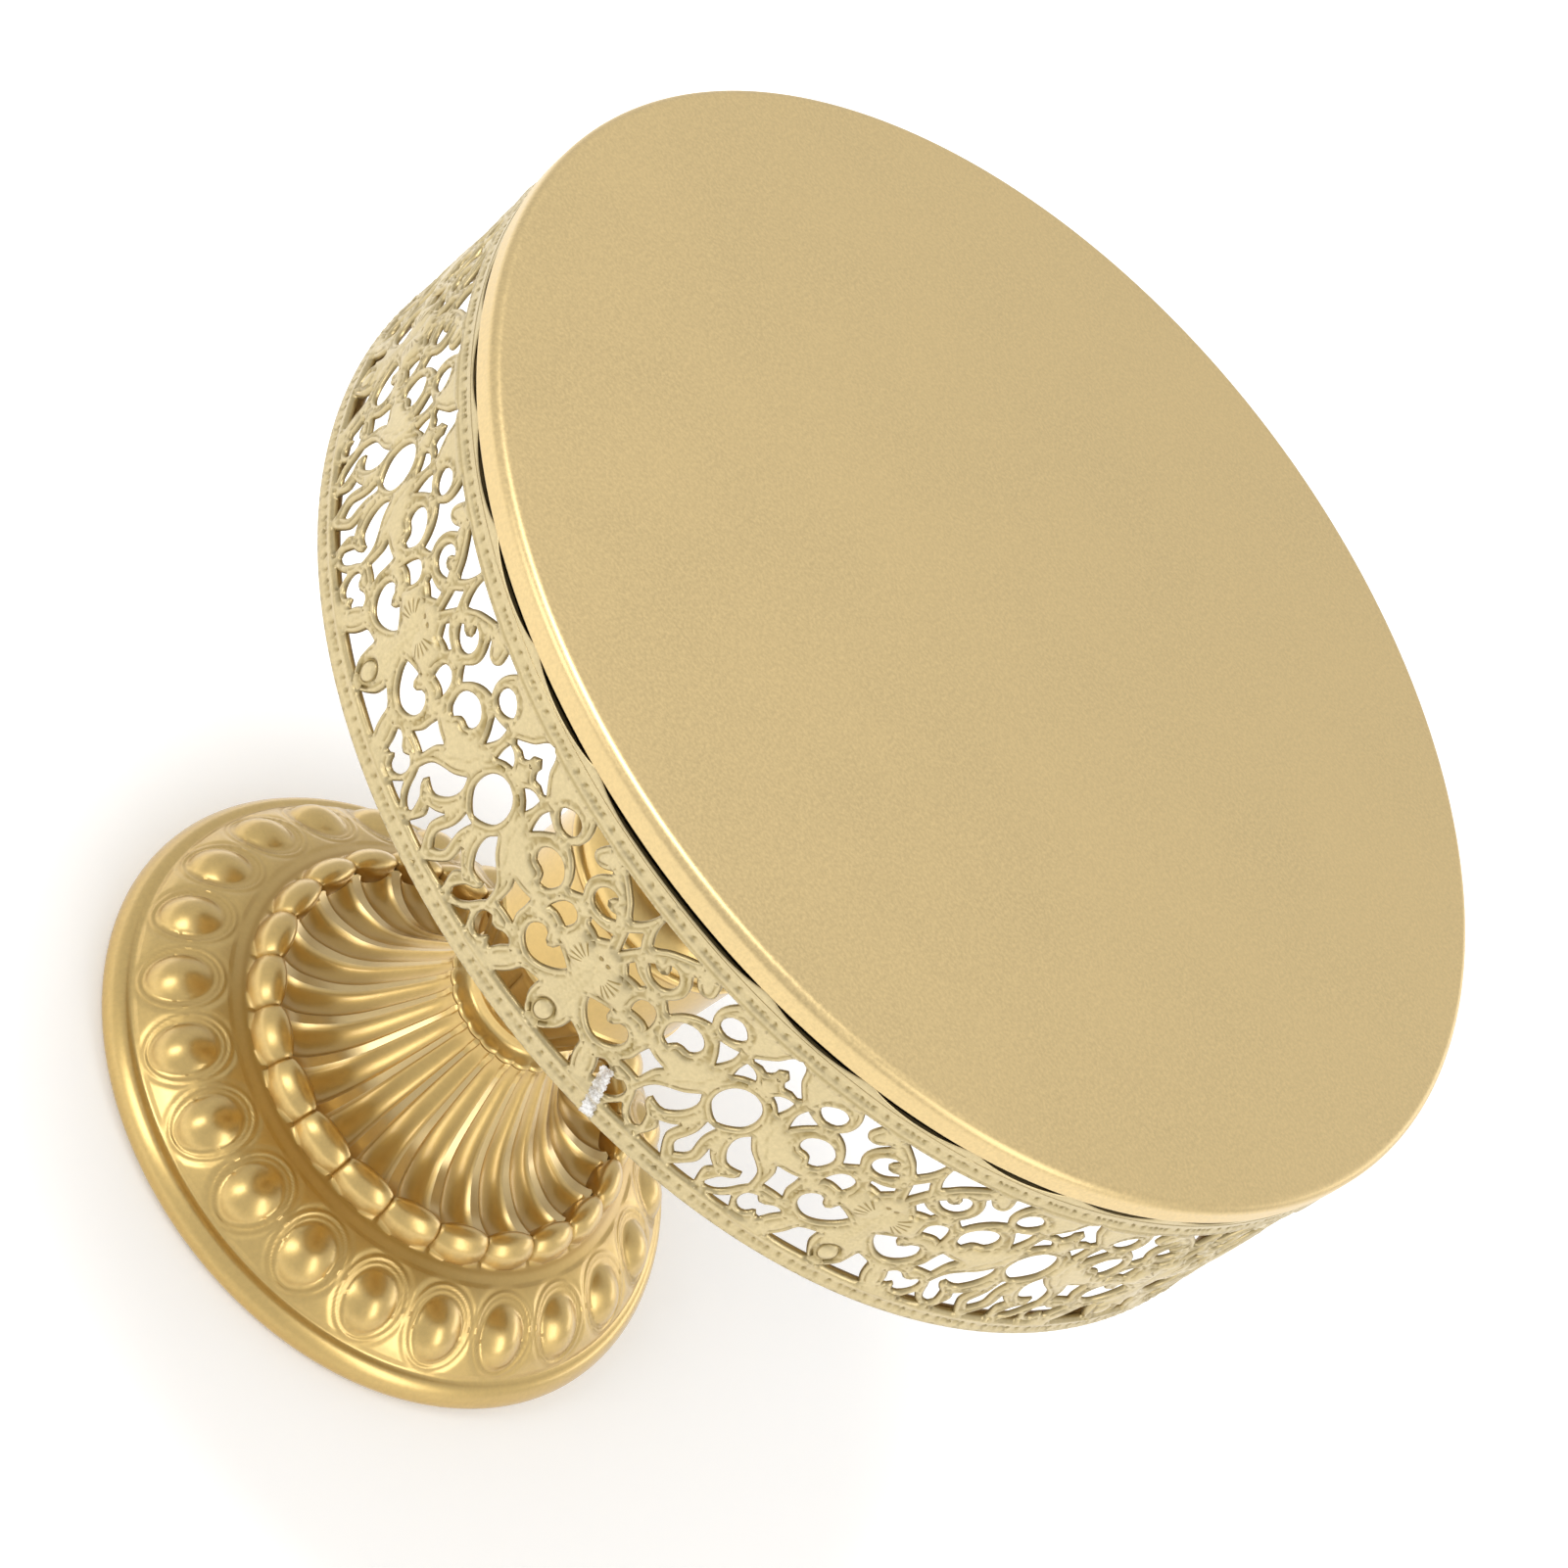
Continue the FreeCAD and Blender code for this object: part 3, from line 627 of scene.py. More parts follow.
# Openings in half of one repeat: (distance along the band from the flower's axis, height above the band's
# lower edge), in millimetres. A third number marks a sharp corner.
OPENINGS = [
    # three-cornered gap beside the flower's diamond
    [(0.7, 44.3, 1), (10.5, 44.3, 1), (8.6, 43.2), (6.8, 41.9), (5.2, 40.6), (3.7, 38.8), (2.9, 38.1, 1),
     (1.7, 40.0), (1.0, 42.0)],
    # comma in the small scroll
    [(7.4, 38.7), (8.8, 39.0), (10.3, 38.1), (11.05, 36.5), (10.8, 34.9), (9.6, 33.7), (7.8, 33.4),
     (6.2, 34.0),
     (4.7, 35.3, 1), (5.5, 36.2, 1), (6.6, 35.7), (7.7, 35.8), (8.4, 36.6), (8.2, 37.7)],
    # crescent under the small scroll
    [(3.1, 32.9, 1), (4.6, 32.0), (6.2, 31.5), (7.8, 31.3, 1), (7.2, 30.1, 1), (5.8, 30.0), (4.3, 29.6, 1),
     (2.6, 31.4, 1)],
    # tall gap between the scrolls
    [(15.7, 44.3, 1), (20.4, 44.3, 1), (19.3, 42.3), (18.8, 40.2), (19.1, 38.2), (20.2, 36.4, 1),
     (18.4, 35.7),
     (16.7, 34.5), (15.2, 32.7), (14.2, 30.7, 1), (13.3, 31.4), (11.9, 32.7, 1), (13.0, 34.5), (13.4, 36.5),
     (12.8, 38.6), (11.4, 40.7, 1), (11.9, 41.3, 1), (13.2, 40.0), (14.6, 39.4), (16.0, 39.8), (16.7, 41.0),
     (16.4, 42.6)],
    # ring hole, a little pointed on its outer side
    [(26.3, 39.2), (25.2, 40.8), (23.3, 41.7), (21.4, 41.0), (20.7, 39.2), (21.4, 37.4), (23.4, 36.8),
     (25.2, 37.6)],
    # three-cornered gap under the ring
    [(23.4, 35.1, 1), (25.2, 35.6), (27.2, 36.4, 1), (27.6, 34.2), (27.1, 31.9), (26.5, 30.4, 1),
     (25.4, 32.4)],
    # round hole in the big scroll, with its comma tail
    [(15.7, 29.0), (16.1, 30.9), (17.5, 32.5), (19.5, 33.25), (21.5, 32.7), (22.8, 31.1), (22.8, 29.3),
     (21.9, 28.0),
     (20.5, 27.9, 1), (19.2, 27.4), (18.3, 25.7, 1), (16.7, 26.4)],
    # little arch beside the flower
    [(9.1, 28.3), (10.2, 29.3), (11.5, 29.5), (12.8, 28.7), (13.6, 27.0), (14.0, 24.9, 1), (12.5, 25.4),
     (11.0, 25.3),
     (9.4, 24.9, 1), (8.9, 26.6)],
    # kidney hole in the leaf scroll
    [(3.2, 19.6, 1), (5.0, 20.6), (7.2, 21.5, 1), (7.7, 19.8), (8.6, 19.1), (9.6, 19.6), (10.3, 20.9),
     (11.5, 21.4),
     (12.9, 20.5), (13.6, 18.6), (13.0, 16.6), (11.5, 15.1), (9.4, 14.4), (7.2, 15.0), (5.2, 16.5),
     (3.8, 18.2)],
    # four-sided gap between the scrolls
    [(17.0, 22.1, 1), (19.3, 21.5), (21.7, 21.3, 1), (20.7, 19.6), (20.3, 17.5), (20.1, 15.2, 1),
     (17.8, 15.4),
     (15.6, 15.3, 1), (16.6, 17.6), (16.7, 20.0)],
    # long flame between the big scroll and the oval
    [(29.5, 23.1, 1), (30.5, 21.1), (30.6, 19.0), (29.7, 16.4), (27.8, 14.1), (26.0, 14.0), (24.5, 14.5, 1),
     (24.1, 13.3), (25.0, 11.8), (26.2, 10.9), (27.0, 9.2), (27.5, 7.4), (26.9, 6.5), (25.2, 7.1),
     (23.7, 9.0),
     (22.7, 11.3), (21.8, 13.0, 1), (22.2, 15.2), (23.1, 17.2), (24.9, 18.8), (27.3, 20.5)],
    # gap beside the teardrop
    [(4.7, 12.7, 1), (6.4, 12.2), (8.2, 11.3), (8.8, 9.4), (9.6, 7.4), (10.8, 5.5, 1), (6.3, 5.3),
     (1.6, 5.5, 1),
     (3.2, 7.4), (4.4, 9.6)],
    # mask-shaped gap over the lower border
    [(12.9, 11.7, 1), (13.9, 12.6), (15.3, 12.4), (16.5, 11.4), (17.6, 11.1), (18.3, 11.6), (19.0, 12.4, 1),
     (20.4, 11.6), (20.9, 9.9), (20.4, 8.1), (19.0, 6.8), (17.6, 7.0), (16.9, 8.3), (16.3, 8.7, 1),
     (15.6, 7.8),
     (14.8, 7.6), (14.1, 9.6)],
    # little foot gap
    [(22.1, 8.5, 1), (23.4, 6.8), (25.0, 5.5, 1), (22.8, 5.3), (20.4, 5.5, 1)],
    # hooked gap beside the keyhole
    [(32.2, 14.4, 1), (30.6, 12.7), (28.8, 11.5, 1), (29.8, 10.0), (29.6, 8.2), (28.7, 5.5, 1), (31.4, 5.3),
     (34.3, 5.3, 1), (32.8, 7.6), (31.6, 10.0), (31.7, 12.3)],
    # quarter-round gap over the oval
    [(33.5, 33.7, 1), (32.6, 35.0), (31.2, 35.7), (29.8, 35.7, 1), (29.7, 33.6), (30.1, 31.3, 1),
     (31.6, 32.7)],
]
# Half outlines on the flower's axis (distance 0) and on the oval's axis (distance measured back from it)
DIAMOND = [(0.0, 38.5, 1), (0.8, 37.2), (1.7, 35.9, 1), (0.9, 34.0), (0.0, 31.9, 1)]
ARCH = [(0.0, 44.6, 1), (1.2, 44.1), (2.0, 42.8), (2.7, 41.1), (4.1, 39.4), (5.9, 37.5, 1), (5.2, 36.9),
        (3.6, 37.3),
        (2.2, 36.9), (1.3, 38.2), (1.35, 39.3), (0.6, 40.0), (0.0, 40.5, 1)]
OVAL = [(0.0, 31.3, 1), (1.9, 30.8), (3.6, 29.0), (4.35, 26.2), (3.9, 23.5), (2.4, 21.6), (0.9, 20.5),
        (0.0, 20.1, 1)]
KEYHOLE = [(0.0, 19.1, 1), (1.1, 19.1, 1), (0.75, 17.0), (0.7, 15.2), (1.1, 13.0), (1.65, 10.9), (1.2, 9.3),
           (0.0, 8.0, 1)]

OUTLINE_STEP = 0.88


def near_edges(points, segments, block=1500):
    """Distance from each point to the nearest of the line segments."""
    start, end = segments
    along = end - start
    square = (along ** 2).sum(1) + 1e-12
    result = np.empty(len(points))
    for low in range(0, len(points), block):
        gap = points[low:low + block, None, :] - start[None]
        share = np.clip((gap * along).sum(2) / square, 0, 1)
        away = gap - share[..., None] * along
        result[low:low + block] = np.sqrt((away ** 2).sum(2)).min(1)
    return result


def inside_loop(points, loop):
    """Which points lie inside a closed outline."""
    x, y = points[:, 0][:, None], points[:, 1][:, None]
    a, b = loop, np.roll(loop, -1, axis=0)
    crosses = ((a[:, 1] > y) != (b[:, 1] > y))
    with np.errstate(divide="ignore", invalid="ignore"):
        where = (b[:, 0] - a[:, 0]) * (y - a[:, 1]) / (b[:, 1] - a[:, 1]) + a[:, 0]
    return (crosses & (x < where)).sum(1) % 2 == 1


def bell(value, centre, width):
    """A smooth bump of height 1."""
    return np.exp(-((value - centre) / width) ** 2)


def smooth_step(value, low, high):
    """0 below low, 1 above high, smooth between."""
    share = np.clip((value - low) / (high - low), 0, 1)
    return share * share * (3 - 2 * share)


def groove(points, start, end, width):
    """A shallow straight groove, 1 on its line and 0 away from it."""
    segment = (np.array([start], float), np.array([end], float))
    return np.exp(-(near_edges(points, segment) / width) ** 2)


def border_relief(s, h):
    """Height and recess of the two borders: raised edges, a sunken row of dots and dashes, and scallops; the
    recess is painted shade in the sunken dots, dashes and channel and beside the raised lines.
    """
    height = np.zeros_like(s)
    recess = np.zeros_like(s)
    pitch = REPEAT_LENGTH / DOTS
    phase = np.cos(2 * math.pi * s / pitch)
    double = smooth_step(np.cos(2 * math.pi * s / (pitch * 4) + 0.6), -0.1, 0.5)
    for middle, low, high in ((2.75, 0.0, LOW_BORDER), (47.25, HIGH_BORDER, BAND_HEIGHT)):
        within = smooth_step(h, low - 0.05, low + 0.1) * (1 - smooth_step(h, high - 0.1, high + 0.05))
        edges = bell(h, low + 0.45, 0.42) + bell(h, high - 0.45, 0.42)
        channel = bell(h, middle, 1.15)
        dots = smooth_step(phase, 0.55, 0.95) * bell(h, middle, 0.42)
        dashes = double * smooth_step(-phase, 0.2, 0.8) * bell(h, middle - 0.1, 0.36)
        scallop = bell(h, middle - 1.35 + 0.25 * phase, 0.34)
        crown = bell(h, middle + 1.35, 0.30)
        height += within * (0.38 * edges - 0.12 * channel - 0.60 * dots - 0.50 * dashes + 0.30 * scallop
                            + 0.16 * crown)
        recess += within * (0.85 * dots + 0.65 * dashes + 0.2 * channel
                            + 0.55 * bell(h, middle - 1.85, 0.25) + 0.35 * bell(h, middle + 1.85, 0.25))
    return height, recess


def flower_relief(points):
    """Height and recess of the flower, its stem and the framed teardrop, drawn about the flower's axis; the
    recess is painted shade in the petal rims, the heart's dot, the stem's marks and round the teardrop.
    """
    s, h = points[:, 0], points[:, 1]
    height = np.zeros_like(s)
    recess = np.zeros_like(s)
    petal = np.sqrt(((s - 4.9) / 4.3) ** 2 + ((h - 25.2) / 3.4) ** 2)
    height += 0.42 * (1 - smooth_step(petal, 0.35, 1.05))
    rim = bell(petal, 1.05, 0.07)
    height -= 0.16 * rim
    recess += 0.35 * rim
    top_petal = np.sqrt((s / 2.4) ** 2 + ((h - 29.6) / 2.6) ** 2)
    height += 0.35 * (1 - smooth_step(top_petal, 0.3, 1.0))
    dot = np.exp(-(((s - 0.85) ** 2 + (h - 27.9) ** 2) / 0.30 ** 2))
    height -= 0.5 * dot
    recess += dot
    for foot, head in ((0.55, 0.45), (1.6, 1.0)):
        mark = groove(points, (head, 22.5), (foot, 15.0), 0.28)
        height -= 0.16 * mark
        recess += 0.30 * mark
    height += 0.30 * np.exp(-(s / 2.2) ** 2) * smooth_step(h, 12.0, 16.0) * (1 - smooth_step(h, 22.0, 25.0))
    drop = np.sqrt((s / 3.9) ** 2 + ((h - 9.6) / 4.7) ** 2)
    height += 0.40 * bell(drop, 0.86, 0.13) - 0.30 * bell(drop, 0.60,
                                                          0.13) + 0.25 * (1 - smooth_step(drop, 0.2, 0.5))
    recess += 0.65 * bell(drop, 0.62, 0.10)
    jewel = groove(points, (0.9, 11.6), (2.0, 10.6), 0.30)
    height -= 0.35 * jewel
    recess += 0.7 * jewel
    return height, recess


def scroll_relief(points):
    """Raised arcs over the rings and the oval, and shallow lines along the big strokes."""
    height = np.zeros(len(points))
    recess = np.zeros(len(points))
    # the recess added below is painted shade along the sunken arcs and lines
    arcs = [((23.4, 39.2), 4.1, 20, 110, 0.30), ((19.3, 29.6), 5.3, -20, 75, 0.28),
            ((REPEAT_LENGTH / 2, 26.3), 6.4, 112, 158, 0.30),
            ((9.0, 18.4), 6.0, -62, 30, 0.26), ((8.6, 36.2), 4.1, -5, 80, 0.26)]
    for (cs, ch), radius, low, high, width in arcs:
        gap = points - np.array([cs, ch])
        away = np.hypot(gap[:, 0], gap[:, 1])
        turn = np.degrees(np.arctan2(gap[:, 1], gap[:, 0]))
        along = smooth_step(turn, low - 8, low + 8) * (1 - smooth_step(turn, high - 8, high + 8))
        mark = along * bell(away, radius, width)
        height -= 0.30 * mark
        recess += 0.7 * mark
    for start, end in (((28.6, 29.5), (27.6, 25.6)), ((27.6, 25.6), (24.6, 21.9)),
                       ((24.6, 21.9), (21.9, 17.6)),
                       ((33.2, 18.2), (33.0, 14.8)), ((10.6, 12.4), (11.6, 8.4)),
                       ((14.4, 22.0), (14.9, 18.4))):
        mark = groove(points, start, end, 0.30)
        height -= 0.20 * mark
        recess += 0.35 * mark
    return height, recess


def half_outlines(width):
    """Every opening of the half repeat as a closed loop, and whether it ends on a side of the half."""
    loops = [(smooth_loop(points, OUTLINE_STEP), True) for points in OPENINGS]
    loops.append((smooth_line(DIAMOND, OUTLINE_STEP), False))
    for half in (ARCH, OVAL, KEYHOLE):
        line = smooth_line(half, OUTLINE_STEP)
        line[:, 0] = width - line[:, 0]
        loops.append((line, False))
    return loops


def half_panel(settings, width):
    """The embossed half repeat, flat: front and back points, triangles, and recess values, the painted shade
    of its grooves.
    """
    loops = half_outlines(width)
    points, edges = [], []
    starts, ends = [], []
    for loop, closed in loops:
        base = len(points)
        count = len(loop)
        points += [tuple(p) for p in loop]
        pairs = [(k, (k + 1) % count) for k in range(count if closed else count - 1)]
        edges += [(base + a, base + b) for a, b in pairs]
        starts += [loop[a] for a, b in pairs]
        ends += [loop[b] for a, b in pairs]
    inner = len(points)
    levels = np.linspace(0, BAND_HEIGHT, 78)
    for side in (0.0, width):
        marks = [p[1] for p in points[:inner] if abs(p[0] - side) < 1e-6]
        for h in levels:
            where = np.array([[side + (0.01 if side == 0 else -0.01), h]])
            if any(inside_loop(where, loop)[0] for loop, _ in loops):
                continue
            if marks and min(abs(h - m) for m in marks) < 0.25:
                continue
            points.append((side, h))
    along = np.linspace(0, width, int(width / OUTLINE_STEP) + 1)
    for h in (0.0, BAND_HEIGHT):
        points += [(s, h) for s in along[1:-1]]
        for a, b in zip(along, along[1:]):
            starts.append(np.array([a, h]))
            ends.append(np.array([b, h]))
    segments = (np.array(starts), np.array(ends))
    extra = []
    for loop, closed in loops:
        ahead = np.roll(loop, -1, axis=0) - np.roll(loop, 1, axis=0)
        if not closed:
            ahead[0], ahead[-1] = loop[1] - loop[0], loop[-1] - loop[-2]
        side = np.stack([ahead[:, 1], -ahead[:, 0]], 1)
        side /= np.linalg.norm(side, axis=1)[:, None] + 1e-9
        for gap in (0.28, 0.62, 1.05):
            for sign in (1, -1):
                ring = loop + sign * side * gap
                extra.append((ring, gap))
    kept = []
    for ring, gap in extra:
        ring = ring[((ring > 0.12) & (ring < np.array([width, BAND_HEIGHT]) - 0.12)).all(1)]
        if not len(ring):
            continue
        solid = np.ones(len(ring), bool)
        for loop, _ in loops:
            solid &= ~inside_loop(ring, loop)
        solid &= near_edges(ring, segments) > gap * 0.93
        kept.append(ring[solid])
    step = settings.grid
    rows = int(BAND_HEIGHT / (step * 0.866))
    grid = []
    for row in range(1, rows):
        h = BAND_HEIGHT * row / rows
        shift = 0.5 * step if row % 2 else 0.0
        grid += [(s + shift, h) for s in np.arange(0.4, width - 0.3, step)]
    grid = np.array(grid)
    grid = grid[grid[:, 0] < width - 0.2]
    solid = near_edges(grid, segments) > 1.25
    border = (grid[:, 1] < LOW_BORDER + 0.2) | (grid[:, 1] > HIGH_BORDER - 0.2)
    solid |= border & (near_edges(grid, segments) > 0.35)
    for loop, _ in loops:
        solid &= ~inside_loop(grid, loop)
    kept.append(grid[solid])
    extra_points = np.concatenate(kept)
    # one point in each small cell
    cells = {}
    for point in extra_points:
        cells.setdefault((round(point[0] / 0.24), round(point[1] / 0.24)), point)
    extra_points = np.array(list(cells.values()))

    def triangles(all_points):
        found = delaunay_2d_cdt([Vector(p) for p in all_points], edges, [], 0, 1e-5)
        out, tris = found[0], found[2]
        flat = np.array([tuple(v) for v in out])
        centre = np.array([flat[list(t)].mean(0) for t in tris])
        corner = np.array([[flat[k] for k in t] for t in tris])
        one, two = corner[:, 1] - corner[:, 0], corner[:, 2] - corner[:, 0]
        keep = np.abs(one[:, 0] * two[:, 1] - one[:, 1] * two[:, 0]) > 1e-5
        for loop, _ in loops:
            keep &= ~inside_loop(centre, loop)
        return flat, [tuple(t) for t, k in zip(tris, keep) if k]

    front, front_faces = triangles(points + [tuple(p) for p in extra_points])
    back, back_faces = triangles(points)
    away = near_edges(front, segments)
    s, h = front[:, 0], front[:, 1]
    outside = (h > LOW_BORDER - 0.2) & (h < HIGH_BORDER + 0.2)
    crown = 1 - np.exp(-(away / 0.42) ** 1.6)
    swell = smooth_step(away, 0.0, 2.3)
    height = settings.stroke_height * (0.62 * crown + 0.38 * swell)
    lip = bell(away, 0.42, 0.26) * outside
    trough = bell(away, 1.0, 0.27) * outside * smooth_step(away, 0.6, 0.9)
    height += 0.16 * lip - 0.28 * trough
    # painted shade: darker in the troughs beside the strokes and along the edges of the openings
    recess = 0.64 * trough + 0.42 * (1 - crown)
    for more, darker in (border_relief(s, h), flower_relief(front), scroll_relief(front)):
        fade = smooth_step(away, 0.0, 0.3)
        height += more * fade
        recess += darker * fade
    return front, front_faces, np.maximum(height, 0.0), np.clip(recess, 0, 1), back, back_faces


def rounded(point):
    """A key that two copies of one point share."""
    return (round(point[0], 4), round(point[1], 4))


def build_lace_band(settings):
    """The pierced and embossed strip, one mesh of turned repeats."""
    outer = level("lace_band", 0)
    radius = reach("lace_band")
    width = math.pi * radius / settings.repeats
    sheet_back = radius - BAND_SHEET
    front, front_faces, height, recess, back, back_faces = half_panel(settings, width)
    base = radius - settings.stroke_height * 0.62 - 0.25

    def bent(flat, depth, side):
        turn = side * flat[:, 0] / radius
        return np.stack([depth * np.sin(turn), -depth * np.cos(turn), outer + flat[:, 1]], 1)

    def lowered(flat):
        drop = EDGE_DROP / 3.0 * np.maximum(flat[:, 1] - (BAND_HEIGHT - 3.0), 0)
        return flat - np.stack([np.zeros(len(flat)), drop], 1)

    where = {rounded(p): k for k, p in enumerate(back)}
    around = dict.fromkeys((a, b) for t in front_faces for a, b in zip(t, t[1:] + t[:1]))
    on_seam = [{k for k, p in enumerate(front) if abs(p[0] - x) < 1e-4} for x in (0.0, width)]
    sides = [(a, b) for a, b in around if (b, a) not in around
             and not any({a, b} <= seam for seam in on_seam)]
    vertices, faces, dark = [], [], []
    count = 0
    for side in (1, -1):
        near = bent(lowered(front), base + height, side)
        far = bent(lowered(back), np.full(len(back), sheet_back), side)
        f0, b0 = count, count + len(near)
        count += len(near) + len(far)
        vertices += [near, far]
        # the back of the strip gets recess 0.5: painted shade on the band's inside, which lies in shadow
        dark += [recess, np.full(len(far), 0.5)]
        faces += [tuple(f0 + k for k in (t if side > 0 else t[::-1])) for t in front_faces]
        faces += [tuple(b0 + k for k in (t[::-1] if side > 0 else t)) for t in back_faces]
        for a, b in sides:
            wall = (f0 + a, f0 + b, b0 + where[rounded(front[b])], b0 + where[rounded(front[a])])
            faces.append(wall[::-1] if side > 0 else wall)
    sector = new_object("lace_repeat", np.concatenate(vertices), faces, np.concatenate(dark))
    for column, name in enumerate(("along", "above")):
        values = np.tile(np.concatenate([front[:, column], back[:, column]]), 2).astype(np.float32)
        sector.data.attributes.new(name, "FLOAT", "POINT").data.foreach_set("value", values)
    thing = repeated("lace_band_strip", sector, settings.repeats, settings.flower_angle, band_finish())
    finish_mesh(thing, 60)
    settle(thing, "lace_gold", "lace_band")


TACKS = 32
FIRST_TACK = math.radians(0.4)
EDGE_STEPS = 960
HEM_DEPTH = 6.0


def build_band_edge():
    """The band's upper edge, waving up to the skirt where it is tacked, with one tack missed at the front.

    Behind the edge a channel runs in under the tray and up to it; it and the inner side of the edge are
    painted nearly black as shade, so the slits between the tacks are dark.
    """
    low = level("band_tacks", 0) - EDGE_DROP
    high = level("band_tacks", 1)
    radius = reach("lace_band")
    under = level("tray_backing_plate", 1)

    def lift(angle):
        turn = (angle - FIRST_TACK) * TACKS / (2 * math.pi)
        index = round(turn)
        if index % TACKS == 0:
            return 0.06
        apart = min(max((abs(turn - index) - 0.05) / 0.45, 0.0), 1.0)
        return 1.0 - 0.95 * math.sin(apart * math.pi / 2) ** 0.62

    rings = []
    outer, inner, hem = radius - 0.05, radius - 0.5, radius - HEM_DEPTH
    for k in range(EDGE_STEPS + 1):
        angle = 2 * math.pi * k / EDGE_STEPS
        top = low + (high - low) * lift(angle)
        section = [(outer - 0.1, low - 0.9), (outer, low - 0.3), (outer, top - 0.25),
                   (outer - 0.12, top - 0.05),
                   (outer - 0.25, top), (inner, top - 0.1), (inner, low - 1.2), (hem + 0.6, low - 1.0),
                   (hem, low - 0.4), (hem, under - 0.1), (hem - 0.6, under - 0.1), (hem - 0.6, low - 1.2),
                   (hem, low - 1.8), (inner - 0.1, low - 2.0)]
        rings.append([(r * math.sin(angle), -r * math.cos(angle), z) for r, z in section])
    count = len(rings[0])
    # all points behind the outer face get 2.0: painted shadow, nearly black, in the channel under the tray
    shade = [0.0] * 6 + [2.0] * (count - 6)
    thing = new_object("band_upper_edge", np.concatenate(rings), ring_faces(len(rings), count),
                       shade * len(rings))
    finish_mesh(thing, 50)
    coat(thing, band_finish())
    settle(thing, "lace_gold", "band_tacks")


def build_hoop():
    """The wire ring inside the lower border."""
    low, high = level("band_hoop", 0), level("band_hoop", 1)
    wire = (high - low) / 2
    middle = reach("lace_band") - BAND_SHEET - wire
    section = [(middle + wire * math.cos(t), (low + high) / 2 + wire * math.sin(t))
               for t in np.linspace(0, 2 * math.pi, 16, endpoint=False)]
    thing = lathe("hoop_wire", section, 256)
    finish_mesh(thing, 80)
    # painted shade on the wire, which lies in shadow inside the border
    coat(thing, finish_named("wire paint", shaded_wire_paint))
    settle(thing, "dark_wire", "band_hoop")


def build_tape():
    """A short leaning strip of clear tape, crumpled a little, over the seam in the lower border."""
    radius = reach("lace_band") + 0.10
    middle = (level("seam_tape", 0) + level("seam_tape", 1)) / 2
    turn, lean = math.radians(9.75), math.radians(20.0)
    length, width, thick = 12.4, 2.5, 0.22
    rows, columns = 60, 14
    points = []
    for layer in (0.0, thick):
        for row in range(rows + 1):
            v = (row / rows - 0.5) * length
            for column in range(columns + 1):
                u = (column / columns - 0.5) * (width + 0.35 * math.sin(row * 0.7) + 0.25
                                                * math.sin(row * 1.9))
                crumple = 0.10 * math.sin(3.1 * v + 2.0 * u) + 0.08 * math.sin(6.3 * u - 1.7 * v)
                s = u * math.cos(lean) - v * math.sin(lean)
                h = u * math.sin(lean) + v * math.cos(lean)
                r = radius + layer + 0.12 + crumple * 0.8
                angle = turn + s / radius
                points.append((r * math.sin(angle), -r * math.cos(angle), middle + h))
    size = (rows + 1) * (columns + 1)
    faces = []
    for row in range(rows):
        for column in range(columns):
            a = row * (columns + 1) + column
            quad = (a, a + 1, a + columns + 2, a + columns + 1)
            faces.append(tuple(k + size for k in quad))
            faces.append(quad[::-1])
    row_length = columns + 1
    ring = [*range(row_length), *(r * row_length + columns for r in range(1, rows + 1))]
    ring += [*(rows * row_length + c for c in range(columns - 1, -1, -1)),
             *(r * row_length for r in range(rows - 1, 0, -1))]
    for a, b in zip(ring, ring[1:] + ring[:1]):
        faces.append((a, b, b + size, a + size))
    thing = new_object("clear_tape_strip", np.array(points), faces)
    finish_mesh(thing, 60)
    coat(thing, finish_named("clear tape", clear_tape))
    settle(thing, "clear_tape", "seam_tape")


# ---------------------------------------------------------------------------------------------
# Foot and stem
# ---------------------------------------------------------------------------------------------
def sector_piece(name, profile, settings, columns, shift, recess, sharp, node):
    """A gilt turned piece whose outside is shaped by shift(angle), made from one repeated sector."""
    half = math.pi / settings.lobes
    angles = np.linspace(-half, half, columns + 1)
    vertices, faces = turned_grid(profile, angles, shift)
    dark = np.concatenate([recess(angle) for angle in angles])
    sector = new_object(name + "_sector", vertices, faces, dark)
    thing = repeated(name, sector, settings.lobes, settings.lobe_angle, foot_finish())
    finish_mesh(thing, sharp)
    settle(thing, "warm_gold", node)


def lengths_from(profile, centre):
    """Distance along a profile, counted from its point nearest to centre."""
    steps = np.linalg.norm(np.diff(profile, axis=0), axis=1)
    total = np.concatenate([[0], np.cumsum(steps)])
    return total - total[np.argmin(np.linalg.norm(profile - np.array(centre), axis=1))]


